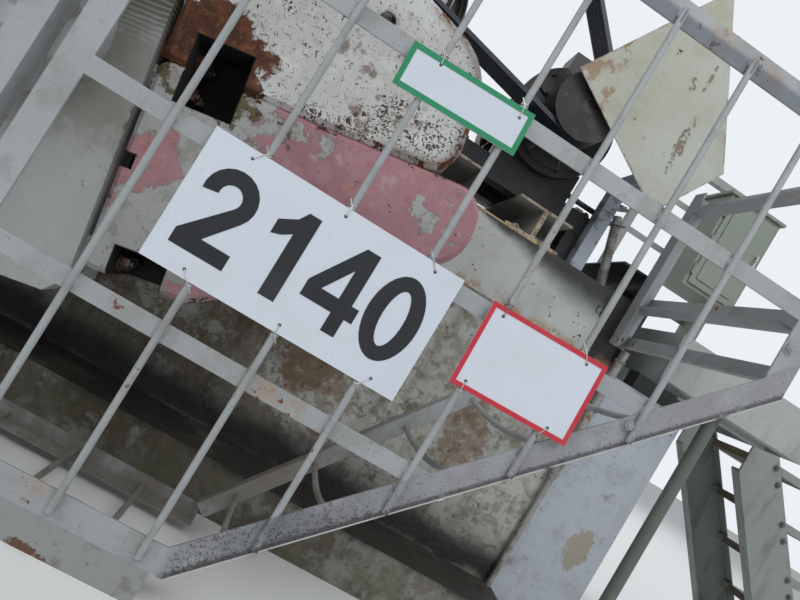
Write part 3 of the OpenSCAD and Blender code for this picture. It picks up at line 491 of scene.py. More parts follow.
def whitewashed_concrete():
    """The rear block: blue-white wash with worn edges and one large bare patch."""
    f = Finish("whitewashed_concrete", tone(138, 130, 114), 0.92)
    x, z = f.measure(EAST), f.measure(UP)
    f.clouds(tone(116, 104, 84), 0.7, (4.0, 6.0, 0.62), (0.4, 0.62))
    wash = f.patches(4.0, 0.86, 0.015, detail=10.0, rough=0.7, push=f.step(x, -4.98, -5.06), pull=-0.12)
    f.cover(wash, tone(170, 176, 184), 0.8, 0.002)
    f.stain(tone(148, 152, 158), 0.7, 9.0, 0.35, 0.1, within=wash)
    f.stain(tone(120, 120, 118), 0.6, 22.0, 0.14, 0.03)
    f.tint(f.spot(x, z, (-4.922, 0.422), (0.045, 0.075), 0.55, 12.0), tone(146, 138, 116), 0.8)
    f.stain(tone(112, 114, 116), 0.6, 7.0, 0.16, 0.04, detail=9.0, rough=0.7)
    f.stain(tone(118, 106, 86), 0.4, 10.0, 0.2, 0.1, stretch=(1, 1, 0.2))
    f.stain(tone(74, 72, 68), 0.5, 60.0, 0.12, 0.03)
    f.tint(f.step(z, 0.16, 0.04), tone(60, 48, 38), 0.8)
    f.raise_by(f.noise(9.0, 8.0, 0.7), 0.006)
    return f.done(0.0012, 120.0)


def frame_paint():
    """The base frame: smooth grey paint; oil from the motor and painted shade darken it along its upper edge
    and make its rear end black.
    """
    f = Finish("frame_paint", tone(188, 192, 190), 0.5)
    x, z = f.measure(EAST), f.measure(UP)
    f.clouds(tone(201, 205, 206), 0.7, (2.4, 6.0, 0.6), (0.42, 0.6))
    f.stain(tone(167, 166, 161), 0.5, 7.0, 0.3, 0.1)
    side = f.beside(0.6, 0.9)
    ragged = f.ragged(z, 14.0)
    # Oil from the motor and painted shade: a soft dark band under the top edge on the sides, deeper towards
    # the rear.
    deep = 0.022 + f.step(x, -3.95, -4.50) * 0.105
    below = (FRAME_TOP - ragged) / deep
    run = side * f.step(below, 1.25, 0.25) * f.step(x, -3.3, -3.9)
    f.tint(run, tone(20, 20, 20), 0.96)
    edge = side * f.step(z, 1.2735, 1.2750) * f.step(x, -4.30, -4.22) * f.patches(9.0, 0.7, 0.03)
    f.cover(edge, tone(184, 164, 123), 0.8)
    # Oil and painted shade: past a ragged, slanting line at the rear end the face is black, as the frame's
    # end lies in shadow.
    torn = f.ragged(x, 24.0)
    slant = (z - 1.243) * 0.2
    f.cover(f.step(torn - slant, -4.527, -4.533), OIL, 0.5)
    worn = f.step(ragged, 1.075, 1.025) * f.patches(12.0, 0.5, 0.04)
    f.cover(worn, tone(171, 143, 114), 0.85)
    rear = f.step(x, -4.30, -4.62)
    f.cover(f.patches(46.0, 0.10, 0.02, push=rear, pull=0.085), tone(46, 43, 41), 0.8)
    f.cover(f.patches(22.0, 0.05, 0.012, push=f.rim(0.008), pull=0.14), RUST, 0.85, -0.0003)
    f.stain(tone(96, 92, 86), 0.5, 80.0, 0.1, 0.03)
    f.cover(f.step(f.facing(UP), 0.6, 0.9) * f.patches(6.0, 0.7, 0.1), OIL, 0.45)
    return f.done()


def cross_member_paint():
    """The cross members: pale inside, rusty at their cut ends, oily on top, and black at the rear with oil
    and painted shade.
    """
    f = Finish("cross_member_paint", tone(176, 176, 170), 0.6)
    x, z = f.measure(EAST), f.measure(UP)
    f.stain(tone(140, 136, 126), 0.7, 8.0, 0.4, 0.1)
    f.stain(RUST_LIGHT, 0.6, 20.0, 0.12, 0.04)
    f.stain(OIL, 0.8, 12.0, 0.6, 0.1, within=f.step(z, FRAME_TOP + 0.030, FRAME_TOP))
    f.cover(f.step(f.facing(UP), 0.6, 0.9) * f.step(z, CROSS_TOP - 0.004, CROSS_TOP - 0.002), OIL, 0.4)
    ends = f.beside(0.6, 0.9)
    f.cover(ends, tone(178, 168, 150), 0.8)
    f.stain(RUST, 0.7, 60.0, 0.4, 0.06, within=ends)
    # Oil and painted shade: the rear cross member is black nearly all over, where it lies in shadow.
    f.cover(f.step(x, -4.40, -4.44) * f.patches(6.0, 0.93, 0.05), OIL, 0.45)
    return f.done()


def crank_measures(f):
    """Distance from the crank's middle line, and distance from the shaft along the crank."""
    across = abs(f.measure(ACROSS_CRANK, SHAFT))
    return across, f.measure(ALONG_CRANK, SHAFT)


def paint_pocket_shade(f, across, along):
    """The bolt pockets beside the joint and at a weight's far end are painted black inside as painted shade.
    """
    inward = f.band(across, WEIGHT_IN + 0.062, WEIGHT_IN + 0.218, 0.001)
    away = abs(along - WEIGHT_JOINT)
    f.cover(inward * f.step(away, 0.0935, 0.0925), OIL, 0.8)
    far = f.band(away, WEIGHT_LEN - 0.081, WEIGHT_LEN + 0.05, 0.001)
    f.cover(f.band(across, WEIGHT_IN + 0.062, WEIGHT_IN + 0.203, 0.001) * far, OIL, 0.8)


def white_weight():
    """Thick white paint that lifts in small dark flakes; it has come off round the pockets and the rim."""
    f = Finish("weight_white", tone(217, 218, 216), 0.62)
    across, along = crank_measures(f)
    f.clouds(tone(201, 200, 195), 0.6, (3.0, 5.0, 0.6), (0.42, 0.6))
    f.stain(tone(233, 234, 234), 0.6, 14.0, 0.3, 0.08)
    group = f.step(f.noise(5.0, 3.0, 0.55), 0.49, 0.60)
    flake = f.patches(96.0, 0.19, 0.014, detail=4.0, rough=0.55, push=group, pull=0.085, warp=1.3)
    f.cover(flake, tone(78, 66, 60), 0.85, -0.0008)
    loose = f.step(f.noise(4.0, 4.0, 0.6), 0.53, 0.62)
    bleed = f.patches(18.0, 0.10, 0.05, detail=9.0, rough=0.7, push=loose, pull=0.10)
    f.tint(bleed, tone(112, 84, 72), 0.75)
    f.stain(tone(120, 112, 102), 0.35, 40.0, 0.2, 0.05)
    away = WEIGHT_JOINT - along
    foot = f.spot(across, away, (WEIGHT_IN + 0.10, 0.065), (0.15, 0.115), 0.42, 11.0)
    side = f.beside(0.9, 0.7)
    worn = f.patches(15.0, 0.07, 0.012, detail=10.0, rough=0.7, warp=0.4,
                     push=f.most(f.rim(0.035, 0.01, 0.4), side, f.step(away, 0.03, 0.0)), pull=0.15)
    nose = f.step(across, 0.84, 0.93) * f.rim(0.050, 0.012, 0.10) * f.patches(13.0, 0.80, 0.02, detail=9.0)
    bare = f.most(foot, worn, nose)
    f.cover(bare, RUST, 0.88, -0.0022)
    f.stain(RUST_DARK, 0.9, 24.0, 0.5, 0.08, within=bare)
    f.stain(tone(140, 92, 58), 0.7, 60.0, 0.3, 0.06, within=bare)
    paint_pocket_shade(f, across, along)
    f.raise_by(f.noise(20.0, 6.0, 0.65), 0.004)
    return f.done(0.0008, 140.0)


def red_weight():
    """Faded pink-red paint with large patches worn to grey-white, and greenish dirt along its top."""
    f = Finish("weight_red", tone(181, 134, 142), 0.66)
    across, along = crank_measures(f)
    f.clouds(tone(170, 122, 130), 0.7, (4.0, 5.0, 0.6), (0.42, 0.6))
    f.stain(tone(192, 152, 158), 0.6, 12.0, 0.3, 0.08)
    away = along - WEIGHT_JOINT
    f.cover(f.patches(6.0, 0.22, 0.03, detail=9.0), tone(192, 142, 134), 0.7, 0.0005)
    f.stain(tone(160, 114, 120), 0.6, 30.0, 0.28, 0.06, detail=8.0)
    f.stain(tone(196, 172, 172), 0.6, 17.0, 0.16, 0.03, detail=9.0)
    f.tint(f.step(away + f.noise(26.0, 6.0, 0.7) * 0.012, 0.013, 0.007), tone(92, 54, 50), 0.7)
    inner_half = f.step(across, 0.80, 0.45)
    grey = f.patches(5.0, 0.24, 0.012, detail=10.0, rough=0.68, push=inner_half, pull=0.155)
    f.cover(grey, tone(178, 180, 178), 0.72, -0.0014)
    f.stain(tone(152, 150, 140), 0.7, 18.0, 0.4, 0.05, within=grey)
    top = f.step(away, 0.20, 0.04)
    moss = f.patches(16.0, 0.10, 0.03, detail=9.0, push=top * inner_half, pull=0.16)
    f.cover(moss, tone(104, 96, 72), 0.85)
    f.stain(tone(66, 56, 44), 0.8, 50.0, 0.4, 0.04, within=moss)
    side = f.beside(0.9, 0.7)
    rust = f.patches(20.0, 0.05, 0.012, detail=10.0, push=f.most(f.rim(0.02, 0.01, 0.4), side), pull=0.09)
    f.cover(rust, RUST_DARK, 0.88, -0.0012)
    f.stain(tone(92, 76, 70), 0.55, 52.0, 0.12, 0.02)
    paint_pocket_shade(f, across, along)
    f.raise_by(f.noise(20.0, 6.0, 0.65), 0.004)
    return f.done(0.0008, 140.0)


def crank_iron():
    """Rough castings, whitewashed towards their ends, with rust-dark ridges on the strips by the slots."""
    f = Finish("crank_iron", tone(161, 161, 156), 0.8)
    across, along = crank_measures(f)
    f.clouds(tone(142, 140, 131), 0.7, (3.0, 6.0, 0.6), (0.4, 0.62))
    f.stain(tone(180, 183, 180), 0.7, 6.0, 0.4, 0.06)
    f.tint(f.step(along, 1.35, 1.62), tone(197, 202, 202), 0.7)
    f.stain(tone(110, 103, 90), 0.5, 9.0, 0.2, 0.08, stretch=(1, 1, 0.15))
    strip = f.step(across, 0.115, 0.150) * f.step(along, 1.10, 0.92) * f.step(along, 0.35, 0.45)
    f.tint(strip, tone(108, 102, 92), 0.75)
    wave = along * (math.tau / 0.014) + f.noise(14.0, 4.0, 0.5) * 9.0
    ridge = f.step(f.math("SINE", wave), -0.6, 0.8)
    ridges = f.step(across, 0.10, 0.20) * f.step(along, 1.20, 1.0) * f.step(along, 0.35, 0.45)
    f.tint(ridges * (1.0 - ridge), tone(64, 56, 48), 0.65)
    f.raise_by(ridges * ridge, 0.003)
    f.cover(f.patches(18.0, 0.05, 0.015, push=f.rim(0.02), pull=0.10), RUST, 0.88, -0.001)
    f.stain(tone(78, 72, 64), 0.5, 44.0, 0.10, 0.02, detail=5.0)
    f.raise_by(f.noise(18.0, 5.0, 0.6), 0.003)
    return f.done(0.0006, 140.0)


def oily_iron(name, colour, rough=0.38, dust=0.3):
    """Dark castings under old grease, with dust stuck to what faces up."""
    f = Finish(name, colour, rough)
    f.clouds(tone(44, 42, 40), 0.7, (6.0, 6.0, 0.6), (0.4, 0.62))
    f.cover(f.patches(9.0, 0.35, 0.08), OIL, 0.3)
    f.cover(f.patches(26.0, 0.1, 0.03, push=f.rim(0.006), pull=0.14), tone(78, 66, 56), 0.7)
    up = f.step(f.facing(UP), 0.2, 0.9)
    f.cover(up * f.patches(12.0, dust, 0.14), tone(74, 68, 60), 0.85)
    return f.done(0.0005, 120.0)


def bare_steel(name, colour, rust=0.45):
    f = Finish(name, colour, 0.42, 0.75)
    f.stain(RUST, 0.8, 12.0, rust, 0.1)
    f.cover(f.patches(30.0, rust * 0.6, 0.05), RUST_DARK, 0.8)
    f.cover(f.patches(8.0, 0.25, 0.1), OIL, 0.35)
    return f.done(0.0003, 200.0)


def belt_rubber():
    f = Finish("belt", tone(22, 25, 34), 0.42)
    f.stain(tone(38, 44, 58), 0.6, 8.0, 0.4, 0.12)
    f.tint(f.rim(0.006), tone(84, 94, 108), 0.7)
    f.stain(tone(62, 60, 58), 0.6, 40.0, 0.10, 0.06)
    return f.done(0.0001, 260.0)


def cover_plate():
    """The belt guard: a cream end plate, scratched and stained at its corner, on a pale grey bracket."""
    f = Finish("cover_cream", tone(174, 176, 164), 0.6)
    x, z = f.measure(EAST), f.measure(UP)
    f.clouds(tone(185, 188, 183), 0.7, (2.6, 6.0, 0.6), (0.42, 0.6))
    f.stain(tone(159, 156, 136), 0.6, 5.0, 0.34, 0.08)
    corner = f.spot(x, z, (MOTOR_X + 0.06, MOTOR_Z + 0.05), (0.10, 0.20), 0.5)
    f.stain(tone(134, 96, 54), 0.7, 16.0, 0.5, 0.05, within=corner)
    scratch = f.patches(13.0, 0.10, 0.012, detail=2.0, stretch=(1.0, 1.0, 0.12), warp=1.6)
    f.cover(scratch * f.patches(3.0, 0.3, 0.05), tone(110, 88, 56), 0.8)
    tear = f.spot(x, z, (MOTOR_X - 0.315, MOTOR_Z + 0.045), (0.015, 0.085), 0.9, 26.0)
    f.stain(tone(92, 70, 42), 0.8, 55.0, 0.62, 0.06, within=tear)
    for at, size in (((MOTOR_X - 0.250, MOTOR_Z + 0.235), (0.012, 0.030)),
                     ((MOTOR_X - 0.290, MOTOR_Z + 0.300), (0.006, 0.055))):
        f.stain(tone(96, 76, 48), 0.75, 60.0, 0.55, 0.06, within=f.spot(x, z, at, size, 1.0, 30.0))
    f.cover(f.patches(24.0, 0.05, 0.012, push=f.rim(0.012), pull=0.15), RUST, 0.85, -0.0003)
    f.stain(tone(104, 94, 70), 0.5, 90.0, 0.12, 0.03)
    bracket = f.step(f.measure(NORTH), 0.652, 0.648)
    f.cover(bracket, tone(161, 169, 181))
    f.stain(DIRT, 0.7, 18.0, 0.3, 0.06, within=bracket)
    return f.done()


def zinc():
    f = Finish("conduit_zinc", tone(150, 150, 146), 0.5, 0.4)
    f.stain(tone(110, 106, 98), 0.8, 20.0, 0.4, 0.08)
    f.cover(f.patches(34.0, 0.18, 0.04), RUST_LIGHT, 0.85)
    return f.done()


def sill_wood():
    """Squared timber under the guard: grey grain and splits under flaking whitewash."""
    f = Finish("whitewashed_wood", tone(100, 90, 76), 0.9)
    grain = f.noise(14.0, 6.0, 0.6, stretch=(0.08, 1, 1.6))
    f.tint(f.step(grain, 0.4, 0.6), tone(88, 76, 62), 0.8)
    wash = f.patches(7.0, 0.78, 0.02, detail=10.0, rough=0.7, stretch=(0.4, 1, 1.4))
    f.cover(wash, tone(144, 146, 146), 0.85, 0.0008)
    f.stain(tone(115, 113, 108), 0.7, 22.0, 0.3, 0.06, within=wash)
    bare = f.patches(11.0, 0.10, 0.02, detail=9.0, rough=0.7, push=f.step(f.measure(UP), 0.035, 0.0),
                     pull=0.14)
    f.cover(bare, tone(98, 72, 56), 0.9, -0.0006)
    f.stain(tone(112, 82, 62), 0.7, 30.0, 0.10, 0.02)
    split = f.patches(5.0, 0.08, 0.01, detail=3.0, stretch=(0.3, 1, 3.0), warp=0.6)
    f.cover(split, tone(50, 44, 38), 0.9, -0.002)
    f.raise_by(grain, 0.002)
    return f.done(0.0004, 160.0)


def guard_rail_height(f):
    """How far a point of the guard lies above the lower line of the sloping rail, and where they slope."""
    out = abs(f.measure(EAST, SHAFT))
    rise = (out - (PANEL_START + GUARD_CORNER_X)) * GUARD_SLOPE
    above = f.measure(UP) - (rise + GUARD_BOTTOM)
    return above, f.step(out, PANEL_START + GUARD_CORNER_X - 0.03, PANEL_START + GUARD_CORNER_X + 0.01)


def guard_paint():
    """The crank guard: pale grey paint, dusty and lightly rusted, grimy along its sloping rails, with a band
    of painted shade under its top rail.
    """
    f = Finish("guard_paint", tone(152, 156, 159), 0.55)
    f.clouds(tone(163, 167, 169), 0.7, (2.0, 5.0, 0.6), (0.4, 0.62))
    f.stain(tone(136, 138, 135), 0.6, 10.0, 0.35, 0.08)
    f.stain(tone(120, 116, 106), 0.45, 16.0, 0.2, 0.08, stretch=(1, 1, 0.15))
    group = f.step(f.noise(3.4, 4.0, 0.6), 0.5, 0.7)
    push = f.rim(0.004) * 0.5 + group
    f.stain(tone(156, 132, 108), 0.6, 12.0, 0.12, 0.08, detail=9.0, push=group, pull=0.10)
    f.stain(tone(146, 118, 92), 0.6, 34.0, 0.05, 0.06, push=push, pull=0.08)
    f.cover(f.patches(34.0, 0.02, 0.015, push=push, pull=0.08), RUST, 0.85, -0.0003)
    z, out = f.measure(UP), abs(f.measure(NORTH))
    within = f.step(out, 1.16, 1.10) * f.step(z, 0.75, 0.30)
    f.stain(tone(96, 88, 72), 0.7, 9.0, 0.75, 0.15, within=within)
    above, sloping = guard_rail_height(f)
    rail = sloping * f.step(above, 0.105, 0.095) * f.step(above, -0.02, -0.01) * f.step(out, 1.18, 1.19)
    f.stain(tone(134, 132, 138), 0.8, 8.0, 0.6, 0.15, within=rail)
    low_end = f.step(z, 0.62, 0.20)
    f.tint(rail * low_end * f.patches(5.0, 0.62, 0.12), tone(84, 86, 92), 0.75)
    grime = f.step(above + f.noise(30.0, 6.0, 0.7) * 0.05, 0.066, 0.036)
    fine = f.patches(190.0, 0.14, 0.06, detail=4.0, rough=0.7, push=grime + low_end, pull=0.085)
    f.tint(rail * fine, tone(44, 41, 43), 0.85)
    f.tint(rail * f.step(above, 0.024, 0.012) * f.patches(14.0, 0.8, 0.1), tone(50, 48, 50), 0.75)
    f.cover(rail * f.band(above, -0.003, 0.0045, 0.0015) * f.patches(20.0, 0.85, 0.05), tone(182, 182, 180))
    # Painted shade: a blue-grey band just below the top rail's lip on faces that look along Y, where the
    # angle's inner face is in shadow.
    flat = f.beside(0.9, 0.97)
    below_lip = f.step(z, GUARD_TOP - 0.020, GUARD_TOP - 0.036)
    shade = flat * below_lip * f.step(z, GUARD_TOP - 0.066, GUARD_TOP - 0.062)
    f.tint(shade, tone(66, 78, 92), 0.72)
    f.stain(tone(74, 70, 66), 0.5, 130.0, 0.08, 0.03, detail=3.0)
    f.stain(tone(128, 122, 112), 0.5, 20.0, 0.5, 0.12, within=f.step(f.facing(UP), 0.35, 0.9))
    return f.done()


def stair_paint():
    """Grey stringers with bare, trodden planks between them."""
    f = Finish("stair_paint", tone(132, 139, 135), 0.6)
    f.clouds(tone(150, 155, 151), 0.6, (2.0, 5.0, 0.6), (0.4, 0.62))
    f.stain(tone(97, 100, 93), 0.6, 14.0, 0.3, 0.08, stretch=(1, 1, 0.2))
    f.cover(f.patches(26.0, 0.06, 0.015, push=f.rim(0.006), pull=0.14), RUST, 0.85)
    low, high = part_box("stair")
    middle = (low.y + high.y) / 2
    between = abs(f.measure(NORTH) - middle)
    plank = f.step(between, 0.171, 0.169)
    grain = f.noise(30.0, 6.0, 0.6, stretch=(1, 0.06, 1))
    f.cover(plank, tone(116, 109, 93), 0.85)
    f.tint(plank * f.step(grain, 0.42, 0.6), tone(86, 76, 60), 0.8)
    f.raise_by(plank * grain, 0.002)
    return f.done()


def sign_enamel(name, colour, worn, dust=1.0, rough=0.35):
    f = Finish(name, colour, rough)
    f.clouds(worn, 0.5, (2.0, 4.0, 0.5), (0.4, 0.62))
    f.stain(tone(150, 150, 148), 0.25 * dust, 60.0, 0.1, 0.04)
    f.stain(tone(176, 178, 176), 0.2 * dust, 7.0, 0.25, 0.12)
    return f.done(0.00003, 300.0)


FINISHES = {
    "concrete": old_concrete(),
    "whitewashed_concrete": whitewashed_concrete(),
    "frame_paint": frame_paint(),
    "post_paint": weathered_paint("post_paint", tone(160, 165, 167), rust=0.12, dirt=0.35),
    "beam_paint": weathered_paint("beam_paint", tone(164, 169, 171), rust=0.1, dirt=0.35),
    "bare_steel": bare_steel("bare_steel", tone(120, 116, 110)),
    "crank_iron": crank_iron(),
    "weight_white": white_weight(),
    "weight_red": red_weight(),
    "reducer_paint": weathered_paint("reducer_paint", tone(112, 116, 114), rust=0.12, dirt=0.5,
                                     fade=tone(132, 134, 130)),
    "sheave_iron": oily_iron("sheave_iron", tone(74, 70, 66), 0.5, 0.4),
    "belt": belt_rubber(),
    "motor_black": oily_iron("motor_black", tone(21, 21, 23), 0.40, 0.22),
    "cover_cream": cover_plate(),
    "conduit_zinc": zinc(),
    "guard_paint": guard_paint(),
    "whitewashed_wood": sill_wood(),
    "plate_white": sign_enamel("plate_white", tone(208, 215, 225), tone(196, 203, 214)),
    "platform_paint": weathered_paint("platform_paint", tone(146, 152, 152), rust=0.08, dirt=0.3,
                                      legs=(1.097, tone(92, 99, 92))),
    "cabinet_paint": weathered_paint("cabinet_paint", tone(128, 138, 128), rust=0.08, dirt=0.3,
                                     fade=tone(142, 151, 142)),
}
NODE_FINISHES = {
    "stair": stair_paint(),
    "cross_members": cross_member_paint(),
    "motor_pulley": oily_iron("pulley_black", tone(12, 12, 13), 0.6, 0.1),
}
DIGIT_INK = sign_enamel("digit_ink", tone(14, 18, 26), tone(22, 26, 34), dust=0.15, rough=0.55)
BORDER_GREEN = sign_enamel("border_green", tone(16, 128, 84), tone(30, 136, 94), dust=0.4)
BORDER_RED = sign_enamel("border_red", tone(190, 40, 60), tone(196, 58, 74), dust=0.4)
# Painted shade: dark discs on the plates stand for the shaded insides of the tie holes.
HOLE_SHADE = sign_enamel("hole_shade", tone(40, 40, 42), tone(60, 60, 60))
TIE_WIRE = bare_steel("tie_wire", tone(196, 194, 190), rust=0.2)


def dress_nodes():
    for row in frame["record"]["subparts"]:
        node = NODES[row["node"]]
        node.data.materials.clear()
        node.data.materials.append(NODE_FINISHES.get(row["node"]) or FINISHES[row["material_slot"]])


dress_nodes()


# Geometry trees for what repeats
class Grower:
    """A geometry tree that sets one small shape on every point of a mesh, turned as the point says."""

    def __init__(self, name, sizes, build, roughen=0.0):
        self.tree = bpy.data.node_groups.new(name, "GeometryNodeTree")
        self.ids = {}
        self.socket("Geometry", "NodeSocketGeometry")
        for label, value in sizes.items():
            self.socket(label, "NodeSocketFloat", value)
        self.socket("Spin", "NodeSocketFloat", 0.0)
        self.socket("Seed", "NodeSocketInt", 1)
        self.socket("Material", "NodeSocketMaterial")
        self.tree.interface.new_socket("Geometry", in_out="OUTPUT", socket_type="NodeSocketGeometry")
        self.start = self.add("NodeGroupInput").outputs
        self.set_on_points(build(self), roughen)

    def socket(self, label, kind, value=None):
        socket = self.tree.interface.new_socket(label, in_out="INPUT", socket_type=kind)
        if value is not None:
            socket.default_value = value
        self.ids[label] = socket.identifier

    def add(self, kind, values=None, **settings):
        """A new node; values maps an input's name to a socket that feeds it, or to a constant."""
        node = self.tree.nodes.new(kind)
        for key, value in settings.items():
            setattr(node, key, value)
        for name, value in (values or {}).items():
            into = node.inputs[name]
            if isinstance(value, bpy.types.NodeSocket):
                self.tree.links.new(value, into)
            else:
                into.default_value = value
        return node

    def scaled(self, value, factor):
        return self.add("ShaderNodeMath", {0: value, 1: factor}, operation="MULTIPLY").outputs[0]

    def vector(self, x=0.0, y=0.0, z=0.0):
        return self.add("ShaderNodeCombineXYZ", {"X": x, "Y": y, "Z": z}).outputs[0]

    def moved(self, geometry, offset):
        return self.add("GeometryNodeTransform", {"Geometry": geometry, "Translation": offset}).outputs[0]

    def attribute(self, name, kind):
        node = self.add("GeometryNodeInputNamedAttribute", {"Name": name}, data_type=kind)
        return node.outputs["Attribute"]

    def set_on_points(self, shape, roughen):
        turn = self.add("FunctionNodeEulerToRotation", {"Euler": self.attribute("turn", "FLOAT_VECTOR")})
        chance = self.add("FunctionNodeRandomValue", data_type="FLOAT")
        low, high = [s for s in chance.inputs if s.name in ("Min", "Max") and s.type == "VALUE"]
        low.default_value = 0.0
        self.tree.links.new(self.start["Spin"], high)
        self.tree.links.new(self.start["Seed"], chance.inputs["Seed"])
        angle = [s for s in chance.outputs if s.type == "VALUE"][0]
        spin = self.add("FunctionNodeAxisAngleToRotation", {"Angle": angle})
        both = self.add("FunctionNodeRotateRotation",
                        {"Rotation": turn.outputs[0], "Rotate By": spin.outputs[0]},
                        rotation_space="LOCAL")
        size = self.vector(1.0, 1.0, self.attribute("reach", "FLOAT"))
        put = self.add("GeometryNodeInstanceOnPoints", {"Points": self.start["Geometry"], "Instance": shape,
                                                        "Rotation": both.outputs[0], "Scale": size})
        real = self.add("GeometryNodeRealizeInstances", {"Geometry": put.outputs[0]}).outputs[0]
        if roughen:
            uneven = self.add("ShaderNodeTexNoise", {"Scale": 240.0, "Detail": 2.0}).outputs["Fac"]
            push = self.add("ShaderNodeMath", {0: uneven, 1: 0.5}, operation="SUBTRACT").outputs[0]
            normal = self.add("GeometryNodeInputNormal").outputs[0]
            offset = self.add("ShaderNodeVectorMath", {0: normal, "Scale": self.scaled(push, roughen)},
                              operation="SCALE").outputs[0]
            real = self.add("GeometryNodeSetPosition", {"Geometry": real, "Offset": offset}).outputs[0]
        coat = self.add("GeometryNodeSetMaterial", {"Geometry": real, "Material": self.start["Material"]})
        self.add("NodeGroupOutput", {0: coat.outputs[0]})

    def grow(self, name, places, body, slot, finish=None, **sizes):
        """Sets the shape on places, each a point, the way its axis points and, if need be, its length."""
        mesh = bpy.data.meshes.new(name)
        mesh.from_pydata([tuple(place[0]) for place in places], [], [])
        mesh.attributes.new("turn", "FLOAT_VECTOR", "POINT")
        mesh.attributes.new("reach", "FLOAT", "POINT")
        turn, reach = mesh.attributes["turn"], mesh.attributes["reach"]
        for i, place in enumerate(places):
            turn.data[i].vector = Vector(place[1]).to_track_quat("Z", "Y").to_euler()
            reach.data[i].value = place[2] if len(place) > 2 else 1.0
        seedling = bpy.data.objects.new(name + "_points", mesh)
        bpy.context.collection.objects.link(seedling)
        modifier = seedling.modifiers.new("grow", "NODES")
        modifier.node_group = self.tree
        for label, value in sizes.items():
            modifier[self.ids[label.replace("_", " ").capitalize()]] = value
        modifier[self.ids["Seed"]] = len(places)
        modifier[self.ids["Material"]] = finish or FINISHES[slot]
        graph = bpy.context.evaluated_depsgraph_get()
        grown = bpy.data.meshes.new_from_object(seedling.evaluated_get(graph))
        bpy.data.objects.remove(seedling)
        return keep(name, grown, body)


def keep(name, mesh, body, finish=None):
    """Makes a mesh a piece that rides on a body."""
    if finish:
        mesh.materials.clear()
        mesh.materials.append(finish)
    piece = bpy.data.objects.new(name, mesh)
    bpy.context.collection.objects.link(piece)
    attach(piece, body)
    return piece


def joined(name, meshes):
    """One mesh of several."""
    whole = bpy.data.meshes.new(name)
    work = bmesh.new()
    for mesh in meshes:
        work.from_mesh(mesh)
        bpy.data.meshes.remove(mesh)
    work.to_mesh(whole)
    work.free()
    return whole


def fuse(name, meshes, body, slot):
    """Makes several meshes one piece with its slot's own finish."""
    return keep(name, joined(name, meshes), body, FINISHES[slot])


def hexagon_bolt(g):
    """A washer on the surface and a hexagon head on it."""
    s = g.start
    washer = g.add("GeometryNodeMeshCylinder", {"Vertices": 14, "Radius": g.scaled(s["Head"], 1.5),
                                                "Depth": g.scaled(s["Height"], 0.25)}).outputs["Mesh"]
    head = g.add("GeometryNodeMeshCylinder", {"Vertices": 6, "Radius": s["Head"],
                                              "Depth": s["Height"]}).outputs["Mesh"]
    stud = g.add("GeometryNodeMeshCylinder", {"Vertices": 10, "Radius": g.scaled(s["Head"], 0.5),
                                              "Depth": g.scaled(s["Height"], 0.4)}).outputs["Mesh"]
    join = g.add("GeometryNodeJoinGeometry")
    for shape, lift in ((washer, 0.125), (head, 0.75), (stud, 1.4)):
        g.tree.links.new(g.moved(shape, g.vector(z=g.scaled(s["Height"], lift))), join.inputs[0])
    return join.outputs[0]


def weld_bead(g):
    """A lump of weld metal, longer than it is wide."""
    s = g.start
    ball = g.add("GeometryNodeMeshUVSphere", {"Segments": 8, "Rings": 5, "Radius": 1.0}).outputs["Mesh"]
    size = g.vector(s["Width"], s["Width"], s["Length"])
    return g.add("GeometryNodeTransform", {"Geometry": ball, "Scale": size}).outputs[0]


def wire_ring(g):
    """One turn of wire, lying flat about its own axis."""
    s = g.start
    loop = g.add("GeometryNodeCurvePrimitiveCircle",
                 {"Resolution": 12, "Radius": s["Ring"]}).outputs["Curve"]
    section = g.add("GeometryNodeCurvePrimitiveCircle",
                    {"Resolution": 5, "Radius": s["Wire"]}).outputs["Curve"]
    return g.add("GeometryNodeCurveToMesh", {"Curve": loop, "Profile Curve": section}).outputs[0]


def round_bar(g):
    """A round bar from the point along its axis; the point's reach gives its length."""
    bar = g.add("GeometryNodeMeshCylinder", {"Vertices": 8, "Radius": g.start["Radius"], "Depth": 1.0})
    return g.moved(bar.outputs["Mesh"], g.vector(z=0.5))


BOLTS = Grower("hexagon_bolts", {"Head": 0.015, "Height": 0.012}, hexagon_bolt)
BEADS = Grower("weld_beads", {"Width": 0.004, "Length": 0.010}, weld_bead, roughen=0.004)
RINGS = Grower("wire_rings", {"Ring": 0.010, "Wire": 0.001}, wire_ring)
BARS = Grower("round_bars", {"Radius": 0.001}, round_bar)


def bolts(name, places, body, slot, head, height, finish=None):
    return BOLTS.grow(name, places, body, slot, finish, head=head, height=height, spin=math.tau)


def circle_of(middle, way, radius, count, start=0.0):
    """Places on a circle round an axis that points along way."""
    way = Vector(way).normalized()
    side = way.cross(UP if abs(way.z) < 0.9 else OUTWARD).normalized()
    other = way.cross(side)
    angles = [start + math.tau * i / count for i in range(count)]
    return [(Vector(middle) + (side * math.cos(a) + other * math.sin(a)) * radius, way) for a in angles]


def spread(first, last, count):
    return [first + (last - first) * i / (count - 1) for i in range(count)]


# Flat shapes
def arc(x, y, r, start, end, steps=14, stretch=1.0):
    """A round stretch of an outline, from one angle to another in degrees."""
    angles = [math.radians(start + (end - start) * i / steps) for i in range(steps + 1)]
    return [(x + r * math.cos(a), y + r * stretch * math.sin(a)) for a in angles]


def round_box(width, height, r):
    """Outline of a box with round corners, in millimetres about its middle."""
    x, y = width / 2 - r, height / 2 - r
    corners = ((x, y, 0), (-x, y, 90), (-x, -y, 180), (x, -y, 270))
    return [point for x, y, start in corners for point in arc(x, y, r, start, start + 90, 5)]


